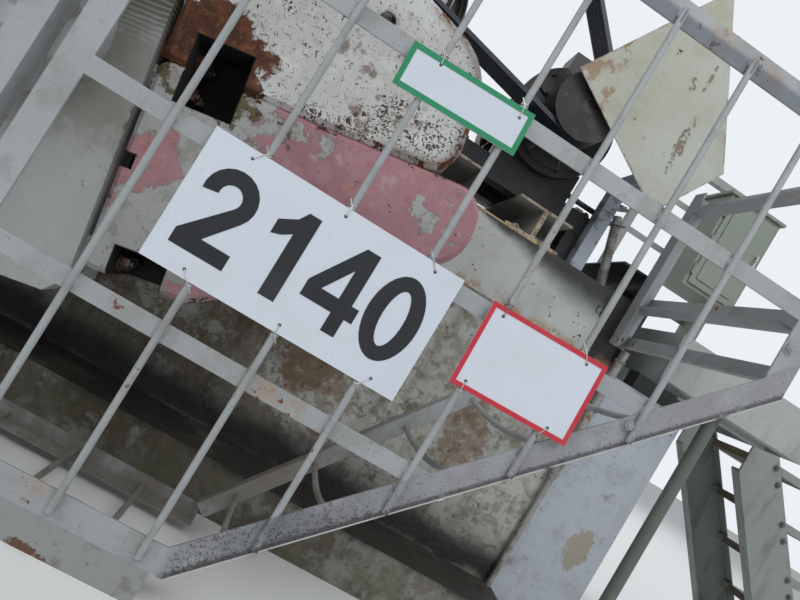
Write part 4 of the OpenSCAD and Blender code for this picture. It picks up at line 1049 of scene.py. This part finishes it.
def cut_out(name, outlines, thick):
    """A filled outline with its holes, in millimetres, made thick about its own plane."""
    curve = bpy.data.curves.new(name, "CURVE")
    curve.dimensions = "2D"
    curve.fill_mode = "BOTH"
    curve.extrude = thick / 2
    for outline in outlines:
        spline = curve.splines.new("POLY")
        spline.points.add(len(outline) - 1)
        spline.use_cyclic_u = True
        for point, (x, y) in zip(spline.points, outline):
            point.co = (x / 1000, y / 1000, 0, 1)
    drawn = bpy.data.objects.new(name + "_outline", curve)
    bpy.context.collection.objects.link(drawn)
    graph = bpy.context.evaluated_depsgraph_get()
    mesh = bpy.data.meshes.new_from_object(drawn.evaluated_get(graph))
    bpy.data.objects.remove(drawn)
    return mesh


def placed(mesh, at, across, up):
    """Stands a mesh at a place, with its x along across and its y along up."""
    across, up = Vector(across).normalized(), Vector(up).normalized()
    out = across.cross(up)
    mesh.transform(Matrix([(across[i], up[i], out[i], at[i]) for i in range(3)] + [(0, 0, 0, 1)]))
    return mesh


# The crank guard
def panel_bars():
    """Middle line of every upright: its X and the height where it starts."""
    for end in (1, -1):
        for i in range(7):
            out = BAR_FIRST + i * BAR_PITCH
            foot = GUARD_BOTTOM + max(0.0, out - GUARD_CORNER_X) * GUARD_SLOPE
            yield SHAFT.x - end * (PANEL_START + out), foot
    for i in range(4):
        yield SHAFT.x + (i - 1.5) * BAR_PITCH, GUARD_BOTTOM


def guard_welds():
    """Beads on both sides of each upright, where it crosses a flat, the lower rail and the top rail."""
    places = []
    for x, foot in panel_bars():
        levels = [z for z in FLAT_LEVELS if z > foot + 0.05]
        levels += [foot + 0.045, GUARD_TOP - 0.035]
        for z in levels:
            for side in SIDES:
                for edge in (-1, 1):
                    slip = 0.006 * math.sin(97.0 * x + 61.0 * z + 5.0 * side)
                    places.append(((x + edge * BAR_R * 0.9, side * (GUARD_Y + 0.001), z + slip), UP))
    BEADS.grow("guard_welds", places, "base", "guard_paint", width=0.0042, length=0.012)


def guard_bolts():
    """Round-headed bolts along the sloping rails of the rear and front panels, on both sides."""
    spots = [(-3.908, 0.367), (-4.385, 0.862), (-4.634, 1.213)]
    places = []
    for x, z in spots:
        for at in (x, 2 * SHAFT.x - x):
            for side in SIDES:
                places.append(((at, side * GUARD_Y, z), (0, side, 0)))
    bolts("guard_bolts", places, "base", "guard_paint", 0.012, 0.008)


def bent_bar(work, a, b, sag, r, steps=12, sides=10):
    """A round bar from a to b that hangs down in its middle."""
    side = (b - a).cross(UP).normalized()
    rings = []
    for i in range(steps + 1):
        t = i / steps
        middle = a.lerp(b, t) - UP * (4 * sag * t * (1 - t))
        over = side.cross(b - a - UP * (4 * sag * (1 - 2 * t))).normalized()
        turns = [math.tau * k / sides for k in range(sides)]
        rings.append([work.verts.new(middle + (side * math.cos(u) + over * math.sin(u)) * r) for u in turns])
    for ring, after in zip(rings, rings[1:]):
        for k in range(sides):
            work.faces.new((ring[k], ring[k - 1], after[k - 1], after[k]))
    work.faces.new(rings[0])
    work.faces.new(rings[-1][::-1])


def corner_braces():
    """The struts inside the guard's corner panels, with the bars that run from them to the sloping rail."""
    foot = Vector((GUARD_CORNER_X + 0.002, 0.025 - INNER_BACK, INNER_Z + 0.028))
    head = Vector((1.370, 0.025 - INNER_BACK, 0.930))
    struts, bars = [], bmesh.new()
    for end in (1, -1):
        for side in SIDES:
            def spot(p):
                return Vector((SHAFT.x - end * (PANEL_START + p.x), side * (GUARD_Y + p.y), p.z))
            low, high = spot(foot), spot(head)
            beam = cut_out("strut", [round_box(44, 44, 5)], (high - low).length)
            struts.append(placed(beam, (low + high) / 2, OUTWARD, (high - low).cross(OUTWARD)))
            tie = cut_out("tie", [round_box(44, 393, 2)], 0.008)
            struts.append(placed(tie, (high.x + end * 0.008, side * 0.657, high.z - 0.016), EAST, NORTH))
            for share in (0.10, 0.31, 0.56, 0.75, 0.94):
                start = foot.lerp(head, share)
                z = start.z + 0.025
                rail = Vector((GUARD_CORNER_X + (z - GUARD_BOTTOM) / GUARD_SLOPE - 0.040, -0.0075, z))
                bent_bar(bars, spot(start), spot(rail), 0.034, BAR_R)
    bmesh.ops.recalc_face_normals(bars, faces=bars.faces)
    rods = bpy.data.meshes.new("rods")
    bars.to_mesh(rods)
    bars.free()
    for face in rods.polygons:
        face.use_smooth = len(face.vertices) == 4
    piece = fuse("corner_braces", struts + [rods], "base", "guard_paint")
    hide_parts("guard_corner_braces")


guard_welds()
guard_bolts()
corner_braces()


# Plates and their ties
# Outlines of the digits, in millimetres about their middles
def digit_two():
    return [[(61, -98), (61, -63), (-6, -63)] + arc(0, 40, 59, -38.7, 190) + arc(0, 40, 25, 190, -41.9)
            + [(-61, -66), (-61, -98)]]


def digit_one():
    return [[(41, -98), (41, 98), (12, 98), (-2, 75), (-38, 55), (-38, 22), (-15, 30), (4, 43), (4, -98)]]


def digit_four():
    return [[(48, -98), (48, -55), (66, -55), (66, -22), (48, -22), (48, 98), (15, 98), (-59, -18),
             (-59, -55),
             (16, -55), (16, -98)], [(16, -22), (16, 45), (-26, -22)]]


def digit_nought():
    return [arc(0, 0, 60, 0, 350, 35, 1.63), arc(0, 0, 25, 0, 350, 35, 2.6)]


# Width and height of each plate, and its tilt in degrees, rising to the rear
PLATES = {"number_plate": (0.600, 0.300, 0.0), "green_plate": (0.300, 0.100, 2.3),
          "red_plate": (0.300, 0.200, 1.4)}
PLATE_T = 0.003


def plate_middle(node):
    low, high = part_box(node)
    return Vector(((low.x + high.x) / 2, high.y, (low.z + high.z) / 2))


def on_plate(name, node, outlines, finish, thick=0.0006, lift=0.0):
    """A thin flat shape on a plate's face, drawn as one reads it from the front."""
    middle = plate_middle(node) + OUTWARD * (thick / 2 + lift)
    tilt = math.radians(PLATES[node][2])
    across = Vector((-math.cos(tilt), 0, math.sin(tilt)))
    mesh = placed(cut_out(name, outlines, thick), middle, across, OUTWARD.cross(across))
    return keep(name, mesh, "base", finish)


def tilted_plates():
    """The two bordered plates hang a little out of level from their ties."""
    for name in ("green_plate", "red_plate"):
        w, h, _ = PLATES[name]
        plate = on_plate("tilted_" + name, name, [round_box(w * 1000, h * 1000, 3)],
                         FINISHES["plate_white"],
                         PLATE_T, -PLATE_T)
        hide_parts(name)


def number_digits():
    outlines = []
    for digit, at in ((digit_two, -204), (digit_one, -63), (digit_four, 74), (digit_nought, 209)):
        outlines += [[(x + at, y) for x, y in outline] for outline in digit()]
    on_plate("plate_digits", "number_plate", outlines, DIGIT_INK)


def border(name, node, width, finish):
    w, h, _ = PLATES[node]
    x, z = w * 500, h * 500
    outer = [(-x, -z), (x, -z), (x, z), (-x, z)]
    inner = [(-x + width, -z + width), (x - width, -z + width),
             (x - width, z - width), (-x + width, z - width)]
    on_plate(name, node, [outer, inner], finish)


def plate_ties():
    """Each plate is tied to the uprights behind it through small holes near its edges."""
    holes = [("number_plate", x, z) for z in (0.923, 0.659) for x in (-3.381, -3.602, -3.823)]
    holes += [("red_plate", -4.001, 0.920), ("red_plate", -4.219, 0.927),
              ("red_plate", -4.003, 0.758), ("red_plate", -4.216, 0.762),
              ("green_plate", -3.606, 1.300), ("green_plate", -3.806, 1.300)]
    uprights = [x for x, _ in panel_bars()]
    eyes, strands, turns = [], [], []
    for node, x, z in holes:
        middle = plate_middle(node)
        _, h, tilt = PLATES[node]
        away = 1.0 if z > middle.z else -1.0
        rise = (middle.x - x) * math.tan(math.radians(tilt))
        bar = min(uprights, key=lambda at: abs(at - x))
        hole = Vector((x, middle.y + 0.0012, z))
        edge = Vector((bar + 0.3 * (x - bar), middle.y + 0.0012, middle.z + away * h / 2 + rise))
        eyes.append(((x, middle.y, z), OUTWARD))
        strands.append((hole, edge - hole, (edge - hole).length))
        behind = Vector((bar, GUARD_Y + 2 * BAR_R + 0.001, edge.z + away * 0.006))
        strands.append((edge, behind - edge, (behind - edge).length))
        tail = Vector((0.012 * away, -0.004, 0.014 * away))
        strands.append((behind, tail, tail.length))
        for lift, lean in ((0.004, 0.25), (0.008, -0.15)):
            turns.append(((bar, GUARD_Y + BAR_R - 0.001, edge.z + away * lift), (0.2, lean, 1.0)))
    # The tie holes are drawn as dark discs: painted shade.
    bolts("tie_holes", eyes, "base", "plate_white", 0.0026, 0.0003, HOLE_SHADE)
    BARS.grow("tie_strands", strands, "base", "conduit_zinc", TIE_WIRE, radius=0.0012)
    RINGS.grow("tie_turns", turns, "base", "conduit_zinc", TIE_WIRE, ring=BAR_R + 0.0012, wire=0.0012)


tilted_plates()
number_digits()
border("green_border", "green_plate", 12, BORDER_GREEN)
border("red_border", "red_plate", 11, BORDER_RED)
plate_ties()


# The drive
CONDUIT_TOP = Vector((MOTOR_X - 0.352, 0.420, MOTOR_Z - 0.170))
CONDUIT_FOOT = Vector((MOTOR_X - 0.435, 0.420, FRAME_TOP - 0.020))


def conduit_rings():
    """Corrugation of the motor's flexible conduit."""
    run = CONDUIT_TOP - CONDUIT_FOOT
    way = run.normalized()
    pitch = 0.0085
    places = [(CONDUIT_FOOT + way * pitch * i, way) for i in range(4, int(0.92 * run.length / pitch))]
    RINGS.grow("conduit_rings", places, "base", "conduit_zinc", ring=0.0158, wire=0.0028)


def drive_bolts():
    """Bolts of the motor, of its rails and of the frame's anchor points."""
    face = Vector((MOTOR_X, MOTOR_END_Y - 0.030, MOTOR_Z))
    shield = circle_of(face, OUTWARD, 0.170, 8)
    shield += circle_of((MOTOR_X, MOTOR_END_Y, MOTOR_Z), OUTWARD, 0.070, 4, 0.39)
    bolts("motor_shield_bolts", shield, "base", "motor_black", 0.010, 0.008)
    feet = [((MOTOR_X + side * 0.135, y, MOTOR_Z - 0.115), UP)
            for side in SIDES for y in MOTOR_RAIL_YS]
    bolts("motor_foot_bolts", feet, "base", "motor_black", 0.014, 0.014)
    lid = [((MOTOR_X + side * 0.065, y, MOTOR_Z + MOTOR_R + 0.070), UP)
           for side in SIDES for y in (MOTOR_END_Y - 0.185, MOTOR_END_Y - 0.085)]
    bolts("terminal_box_screws", lid, "base", "motor_black", 0.006, 0.004)
    rails = [((MOTOR_X + x, y, MOTOR_Z - 0.225), UP)
             for x in (-0.265, 0.270) for y in MOTOR_RAIL_YS]
    bolts("slide_rail_bolts", rails, "base", "motor_black", 0.014, 0.014)
    stops = [((MOTOR_X - 0.330, y, MOTOR_Z - 0.185), -Vector(EAST))
             for y in MOTOR_RAIL_YS]
    bolts("belt_tension_nuts", stops, "base", "motor_black", 0.017, 0.014)
    RINGS.grow("lifting_eye", [((MOTOR_X, MOTOR_END_Y - 0.300, MOTOR_Z + MOTOR_R + 0.010), OUTWARD)],
               "base",
               "motor_black", ring=0.024, wire=0.008)
    anchors = [((x, side * 0.400, FRAME_LEDGE), UP) for side in SIDES
               for x in (-4.60, -3.95, -2.75, -2.30, -0.80, 0.10, 1.05)]
    bolts("anchor_nuts", anchors, "base", "frame_paint", 0.022, 0.024)


def motor_fittings():
    """Ribs on the motor's end shield, the brackets and bolts that tighten its belts, and a packer."""
    rib = [(88, 0), (178, 0), (178, 6), (140, 20), (88, 20)]
    meshes = []
    for i in range(8):
        a = math.radians(22.5 + 45 * i)
        at = (MOTOR_X, MOTOR_END_Y - 0.0305, MOTOR_Z)
        meshes.append(placed(cut_out("rib", [rib], 0.010), at, (math.cos(a), 0, math.sin(a)), OUTWARD))
    threads = []
    for y in MOTOR_RAIL_YS:
        bracket = cut_out("bracket", [round_box(80, 104, 8)], 0.030)
        meshes.append(placed(bracket, (MOTOR_X - 0.315, y, MOTOR_Z - 0.1725), NORTH, UP))
        threads.append(((MOTOR_X - 0.360, y, MOTOR_Z - 0.185), EAST, 0.1945))
    for i in range(4):
        leaf = cut_out("packer", [round_box(110 - 3 * (i % 2), 78, 4)], 0.0285)
        meshes.append(placed(leaf, (MOTOR_X - 0.274, 0.3545, FRAME_TOP + 0.015 + 0.0293 * i), EAST, NORTH))
    fuse("motor_fittings", meshes, "base", "motor_black")
    BARS.grow("belt_tension_bolts", threads, "base", "motor_black", radius=0.011)


def rear_cross_member():
    """The channel across the frame's rear end, black with oil and painted shade."""
    channel = [(0, 0), (110, 0), (110, 9), (9, 9), (9, 109), (110, 109), (110, 118), (0, 118)]
    mesh = cut_out("rear_cross_member", [channel], 0.916)
    placed(mesh, (REAR_MEMBER_X, 0.0, FRAME_TOP + 0.0003), EAST, UP)
    keep("rear_cross_member", mesh, "base", NODE_FINISHES["cross_members"])


def cross_member_bolts():
    """Each cross member is bolted through its lower flange to the frame."""
    lower = FRAME_TOP + 0.009
    webs = [INPUT_X - 0.150, INPUT_X + 0.330, SHAFT.x + 0.200, MOTOR_X + 0.160, MOTOR_X - 0.106,
            REAR_MEMBER_X]
    places = [((x + 0.060, side * 0.415, lower), UP) for x in webs for side in SIDES]
    places += [((MOTOR_X - 0.166, side * 0.415, lower), UP) for side in SIDES]
    bolts("cross_member_bolts", places, "base", "frame_paint", 0.014, 0.012)


def conduit_fittings():
    """Gland nuts of the flexible conduit and the saddles of the riser."""
    way = (CONDUIT_TOP - CONDUIT_FOOT).normalized()
    glands = [(CONDUIT_TOP - way * 0.034, way), (CONDUIT_TOP + way * 0.026, way)]
    bolts("conduit_glands", glands, "base", "conduit_zinc", 0.025, 0.010)
    riser = [((SLAB_REAR + 0.012, 0.4773, z), UP) for z in (0.62, 0.66, 0.88, 1.08)]
    RINGS.grow("riser_saddles", riser, "base", "conduit_zinc", ring=0.0185, wire=0.0035)


def drive_wheel_bolts():
    """Bolts that draw the hubs of the sheave and of the brake drum onto the reducer's input shaft."""
    sheave = circle_of((INPUT_X, 0.648, SHAFT.z), OUTWARD, 0.066, 4, 0.4)
    sheave += circle_of((INPUT_X, 0.518, SHAFT.z), -OUTWARD, 0.066, 4, 0.4)
    bolts("sheave_hub_bolts", sheave, "base", "sheave_iron", 0.009, 0.009)
    drum = circle_of((INPUT_X, -0.470, SHAFT.z), -OUTWARD, 0.150, 8)
    bolts("brake_drum_bolts", drum, "base", "sheave_iron", 0.010, 0.009)


def brake_band():
    """A steel band round the brake drum, open below, with the lugs and the bolt that close it."""
    outer, inner, lug = 309, 302, 30
    ends = (-78, 258)
    band = arc(0, 0, outer, ends[0], ends[1], 72) + arc(0, 0, inner, ends[1], ends[0], 72)
    meshes = [cut_out("brake_band", [band], 0.080)]
    for end, away in zip(ends, (1, -1)):
        a = math.radians(end)
        out, along = Vector((math.cos(a), math.sin(a))), Vector((-math.sin(a), math.cos(a))) * away
        corners = [out * inner, out * (outer + lug), out * (outer + lug) + along * 9,
                   out * inner + along * 9]
        meshes.append(cut_out("brake_lug", [[tuple(c) for c in corners]], 0.060))
    mesh = placed(joined("brake_band", meshes), (INPUT_X, -0.460, SHAFT.z), -Vector(EAST), UP)
    keep("brake_band", mesh, "base", FINISHES["sheave_iron"])
    low = SHAFT.z - 0.318
    BARS.grow("brake_bolt", [((INPUT_X - 0.085, -0.460, low), EAST, 0.170)], "base", "sheave_iron",
              radius=0.007)
    nuts = [((INPUT_X + way * 0.068, -0.460, low), Vector(EAST) * way) for way in SIDES]
    bolts("brake_nuts", nuts, "base", "sheave_iron", 0.013, 0.011)


def reducer_bolts():
    """Bolts of the reducer's joint flange, feet and bearing covers."""
    _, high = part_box("gear_reducer")
    x0, x1 = INPUT_X - 0.230, SHAFT.x + 0.500
    rim = [((x, side * REDUCER_BOLT_Y, SHAFT.z + way * 0.028), UP * way) for way in SIDES
           for side in SIDES for x in spread(x0 + 0.05, x1 - 0.05, 12) if abs(x - SHAFT.x) > 0.16]
    bolts("reducer_flange_bolts", rim, "base", "reducer_paint", 0.012, 0.012)
    feet = [((x, side * REDUCER_BOLT_Y, CROSS_TOP + 0.035), UP)
            for side in SIDES for x in spread(x0 + 0.06, x1 - 0.06, 6)]
    bolts("reducer_foot_bolts", feet, "base", "reducer_paint", 0.015, 0.016)
    covers = []
    for side in SIDES:
        covers += circle_of((SHAFT.x, side * (REDUCER_HALF + 0.035), SHAFT.z), (0, side, 0), 0.150, 10, 0.2)
        covers += circle_of((SHAFT.x - 0.420, side * (REDUCER_HALF + 0.018), SHAFT.z), (0, side, 0), 0.095,
                            8)
        covers += circle_of((INPUT_X, side * (REDUCER_HALF + 0.025), SHAFT.z), (0, side, 0), 0.076, 6)
    bolts("bearing_cover_bolts", covers, "base", "reducer_paint", 0.009, 0.008)
    hatch = [((SHAFT.x - 0.230 + a * 0.085, b * 0.075, high.z), UP) for a in SIDES for b in SIDES]
    bolts("hatch_bolts", hatch, "base", "reducer_paint", 0.008, 0.006)


def reducer_fittings():
    """Lifting lugs on the joint flange, a breather on the hatch, drain plugs and oil gauges."""
    _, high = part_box("gear_reducer")
    outline = [(34, 0)] + arc(0, 42, 30, 0, 180, 12) + [(-34, 0)]
    lugs = []
    for side in SIDES:
        for x in (INPUT_X - 0.130, SHAFT.x + 0.390):
            lug = cut_out("lug", [outline, arc(0, 42, 13, 0, 342, 19)], 0.014)
            lugs.append(placed(lug, (x, side * 0.381, SHAFT.z + 0.028), EAST, UP))
    fuse("lifting_lugs", lugs, "base", "reducer_paint")
    breather = Vector((SHAFT.x - 0.230, 0.0, high.z - 0.001))
    BARS.grow("breather_pipe", [(breather, UP, 0.012)], "base", "reducer_paint", radius=0.012)
    plugs = [((x, side * 0.360, CROSS_TOP + 0.075), (0, side, 0)) for x in (SHAFT.x - 0.10, INPUT_X + 0.02)
             for side in SIDES]
    bolts("drain_plugs", plugs, "base", "reducer_paint", 0.018, 0.018)
    gauges = [((SHAFT.x - 0.215, side * 0.361, CROSS_TOP + 0.240), (0, side, 0)) for side in SIDES]
    RINGS.grow("oil_gauge_rims", gauges, "base", "reducer_paint", ring=0.034, wire=0.007)
    bolts("oil_gauge_screws", [place for at, way in gauges for place in circle_of(at, way, 0.052, 4, 0.8)],
          "base", "reducer_paint", 0.005, 0.004)


conduit_rings()
conduit_fittings()
motor_fittings()
rear_cross_member()
drive_bolts()
drive_wheel_bolts()
brake_band()
cross_member_bolts()
reducer_bolts()
reducer_fittings()


# Cranks, weights and links
def crank_fastenings():
    """Nuts that hold the weights, in their pockets, and the plates on the shaft's ends."""
    nuts = []
    for side in SIDES:
        for way in SIDES:
            for run in (1, -1):
                for away in (0.046, WEIGHT_LEN - 0.039):
                    for lift in (-0.035, 0.035):
                        at = on_crank(way * (WEIGHT_IN + 0.066), side * (CRANK_Y + 0.107 + lift),
                                      WEIGHT_JOINT + run * away)
                        nuts.append((at, ACROSS_CRANK * way))
    bolts("weight_nuts", nuts, "cranks", "bare_steel", 0.020, 0.022)
    ends = []
    for side in SIDES:
        ends += circle_of((SHAFT.x, side * (CRANK_OUT + 0.045), SHAFT.z), (0, side, 0), 0.062, 4, 0.3)
        ends += circle_of((SHAFT.x, side * (CRANK_OUT + 0.040), SHAFT.z), (0, side, 0), 0.148, 6, 0.1)
    bolts("hub_bolts", ends, "cranks", "bare_steel", 0.014, 0.013)


def pocket_backs():
    """The bolt pockets are blind: a wall of iron closes each one towards the crank."""
    for node, run, slot in (("inner_weights", -1, "weight_white"), ("outer_weights", 1, "weight_red")):
        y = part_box(node)[1].y - WEIGHT_T + 0.0252
        walls = []
        for side in SIDES:
            for way in SIDES:
                for width, height, away in ((149.4, 91.4, 0.0460), (134.4, 77.4, WEIGHT_LEN - 0.0392)):
                    across = way * (WEIGHT_IN + 0.065 + width / 2000)
                    wall = cut_out("wall", [round_box(width, height, 2)], 0.050)
                    at = on_crank(across, side * y, WEIGHT_JOINT + run * away)
                    walls.append(placed(wall, at, ACROSS_CRANK, ALONG_CRANK))
        fuse(node + "_backs", walls, "cranks", slot)


def link_bolts():
    """Bolts of the pitmans' heads and of their upper flanges."""
    _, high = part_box("pitman_near")
    heads = []
    for side in SIDES:
        middle = on_crank(0, side * high.y, CRANK_R)
        heads += circle_of(middle, (0, side, 0), 0.165, 10, 0.15)
    bolts("pitman_head_bolts", heads, "pitmans", "beam_paint", 0.012, 0.010)
    # The flanges lie this far along the crank from the shaft, so above it
    flange = -1.31
    tops = [(on_crank(across * 0.110, side * (PITMAN_Y + y), flange), ALONG_CRANK)
            for side in SIDES for across in SIDES for y in (-0.055, 0.055)]
    bolts("pitman_flange_bolts", tops, "pitmans", "beam_paint", 0.014, 0.014)


def beam_bolts():
    """Bolts of the tail bearing, of the saddle and of the saddle's caps."""
    below = 0.150
    tail = [(on_beam(-TAIL_ARM + along, y, below), -ABOVE_BEAM)
            for along in (-0.165, 0.165) for y in (-0.130, -0.045, 0.045, 0.130)]
    bolts("tail_bearing_bolts", tail, "beam", "beam_paint", 0.014, 0.014)
    low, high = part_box("saddle_bearing")
    saddle = [((x, side * y, low.z + 0.045), UP)
              for side in SIDES for x in (-0.190, 0.190) for y in (0.235, 0.295)]
    bolts("saddle_bolts", saddle, "base", "post_paint", 0.016, 0.018)
    caps = []
    for side in SIDES:
        caps += circle_of((BEAM_PIVOT.x, side * high.y, BEAM_PIVOT.z), (0, side, 0), 0.112, 8, 0.2)
    bolts("saddle_cap_bolts", caps, "base", "post_paint", 0.010, 0.009)


def beam_joints():
    """Bolts of the horsehead's joint and of the saddle's clamps, and the welds between web and flanges."""
    front = 2.885
    joint = [(on_beam(front, side * y, above), -ALONG_BEAM)
             for side in SIDES for y in (0.055, 0.120) for above in spread(0.265, 0.715, 6)]
    bolts("horsehead_bolts", joint, "beam", "beam_paint", 0.016, 0.015)
    clamps = [(on_beam(along, side * 0.125, 0.216), ABOVE_BEAM)
              for along in (-0.150, -0.050, 0.050, 0.150) for side in SIDES]
    bolts("saddle_clamp_bolts", clamps, "beam", "beam_paint", 0.018, 0.018)
    seams = [(on_beam(-TAIL_ARM - 0.240, side * 0.009, above), ALONG_BEAM, TAIL_ARM + 0.240 + front)
             for side in SIDES for above in (0.217, 0.763)]
    BARS.grow("flange_welds", seams, "beam", "beam_paint", radius=0.006)


def link_fittings():
    """End caps of the pitmans' bearings: their small bolts and grease nipples."""
    _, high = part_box("pitman_near")
    caps, nipples = [], []
    for side in SIDES:
        middle = on_crank(0, side * high.y, CRANK_R)
        caps += circle_of(middle, (0, side, 0), 0.085, 6, 0.5)
        nipples.append((middle, (0, side, 0), 0.020))
    bolts("pitman_cap_bolts", caps, "pitmans", "beam_paint", 0.009, 0.008)
    BARS.grow("grease_nipples", nipples, "pitmans", "beam_paint", radius=0.006)


def post_bolts():
    """Anchor bolts of the post's feet."""
    feet = []
    for x in POST_FEET_X:
        for side in SIDES:
            feet += [((x + way * 0.108, side * y, FRAME_TOP + 0.030), UP)
                     for way in SIDES for y in (0.362, 0.438)]
    bolts("post_foot_bolts", feet, "base", "post_paint", 0.016, 0.018)


def ladder_welds():
    """Beads where the rungs meet the ladder's stiles."""
    rungs, first, top = 11, 1.0263, 4.810
    lean = (0.130 - 0.950) / (4.900 - FRAME_TOP)
    places = []
    for i in range(1, rungs + 1):
        z = first + i * (top - first) / (rungs + 1)
        x = 1.100 + (z - FRAME_TOP) * lean
        for side in SIDES:
            for way in (-1, 1):
                places.append(((x + way * 0.012, side * 0.179, z), UP))
    BEADS.grow("ladder_welds", places, "base", "post_paint", width=0.005, length=0.010)


crank_fastenings()
pocket_backs()
link_bolts()
link_fittings()
beam_bolts()
beam_joints()
post_bolts()


# Platform, stair and cabinet
PLATFORM_TOP = FRAME_TOP - 0.010
STAIR_START = -5.438
TREADS = 6


def deck_marks():
    """Raised marks of the tread plate, in turn one way and the other."""
    low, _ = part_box("platform")
    places = []
    for i in range(15):
        for j in range(27):
            x = low.x + 0.035 + 0.0405 * i
            y = low.y + 0.035 + 0.0405 * j
            places.append(((x, y, PLATFORM_TOP), (1, 1 if (i + j) % 2 else -1, 0)))
    BEADS.grow("deck_marks", places, "base", "platform_paint", width=0.003, length=0.013)


def stair_bolts():
    """Two bolts through each stringer for every tread."""
    low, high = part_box("stair")
    rise = PLATFORM_TOP / (TREADS + 1)
    going = rise / math.tan(math.radians(51.0))
    places = []
    for i in range(1, TREADS + 1):
        for back, drop in ((-0.012, 0.015), (0.030, 0.070)):
            for y, way in ((high.y, 1), (low.y, -1)):
                places.append(((STAIR_START - i * going - back, y, PLATFORM_TOP - i * rise - drop),
                               (0, way, 0)))
    bolts("stair_bolts", places, "base", "platform_paint", 0.009, 0.008)


def railing_feet():
    """Foot plates of the railing's posts, with their bolts."""
    low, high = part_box("railing")
    plates, nuts = [], []
    for x in (low.x + 0.020, high.x - 0.020):
        plate = cut_out("railing_foot", [round_box(88, 58, 6)], 0.006)
        plates.append(placed(plate, (x, -0.530, PLATFORM_TOP + 0.003), EAST, NORTH))
        nuts += [((x + way * 0.032, -0.530, PLATFORM_TOP + 0.006), UP) for way in SIDES]
    fuse("railing_feet", plates, "base", "platform_paint")
    bolts("railing_bolts", nuts, "base", "platform_paint", 0.007, 0.007)


def cabinet_door():
    """A door with a raised panel on the side that faces the platform, its hinges and its handle."""
    low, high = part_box("control_box")
    face = low.y + 0.239
    middle = (low.x + high.x) / 2
    sheets = []
    for width, height, thick, lift in ((262, 462, 0.010, 0.005), (206, 396, 0.005, 0.0125)):
        sheet = cut_out("sheet", [round_box(width, height, 8)], thick)
        sheets.append(placed(sheet, (middle, face + lift, 1.921), -Vector(EAST), UP))
    fuse("cabinet_door", sheets, "base", "cabinet_paint")
    hinges = [((middle + 0.136, face + 0.007, z), UP, 0.055) for z in (1.735, 1.895, 2.055)]
    BARS.grow("cabinet_hinges", hinges, "base", "cabinet_paint", radius=0.007)
    grip = [((middle - 0.112, face + 0.030, 1.885), UP, 0.090)]
    grip += [((middle - 0.112, face + 0.008, z), NORTH, 0.022) for z in (1.890, 1.970)]
    BARS.grow("cabinet_handle", grip, "base", "cabinet_paint", TIE_WIRE, radius=0.005)


ladder_welds()
deck_marks()
stair_bolts()
railing_feet()
cabinet_door()
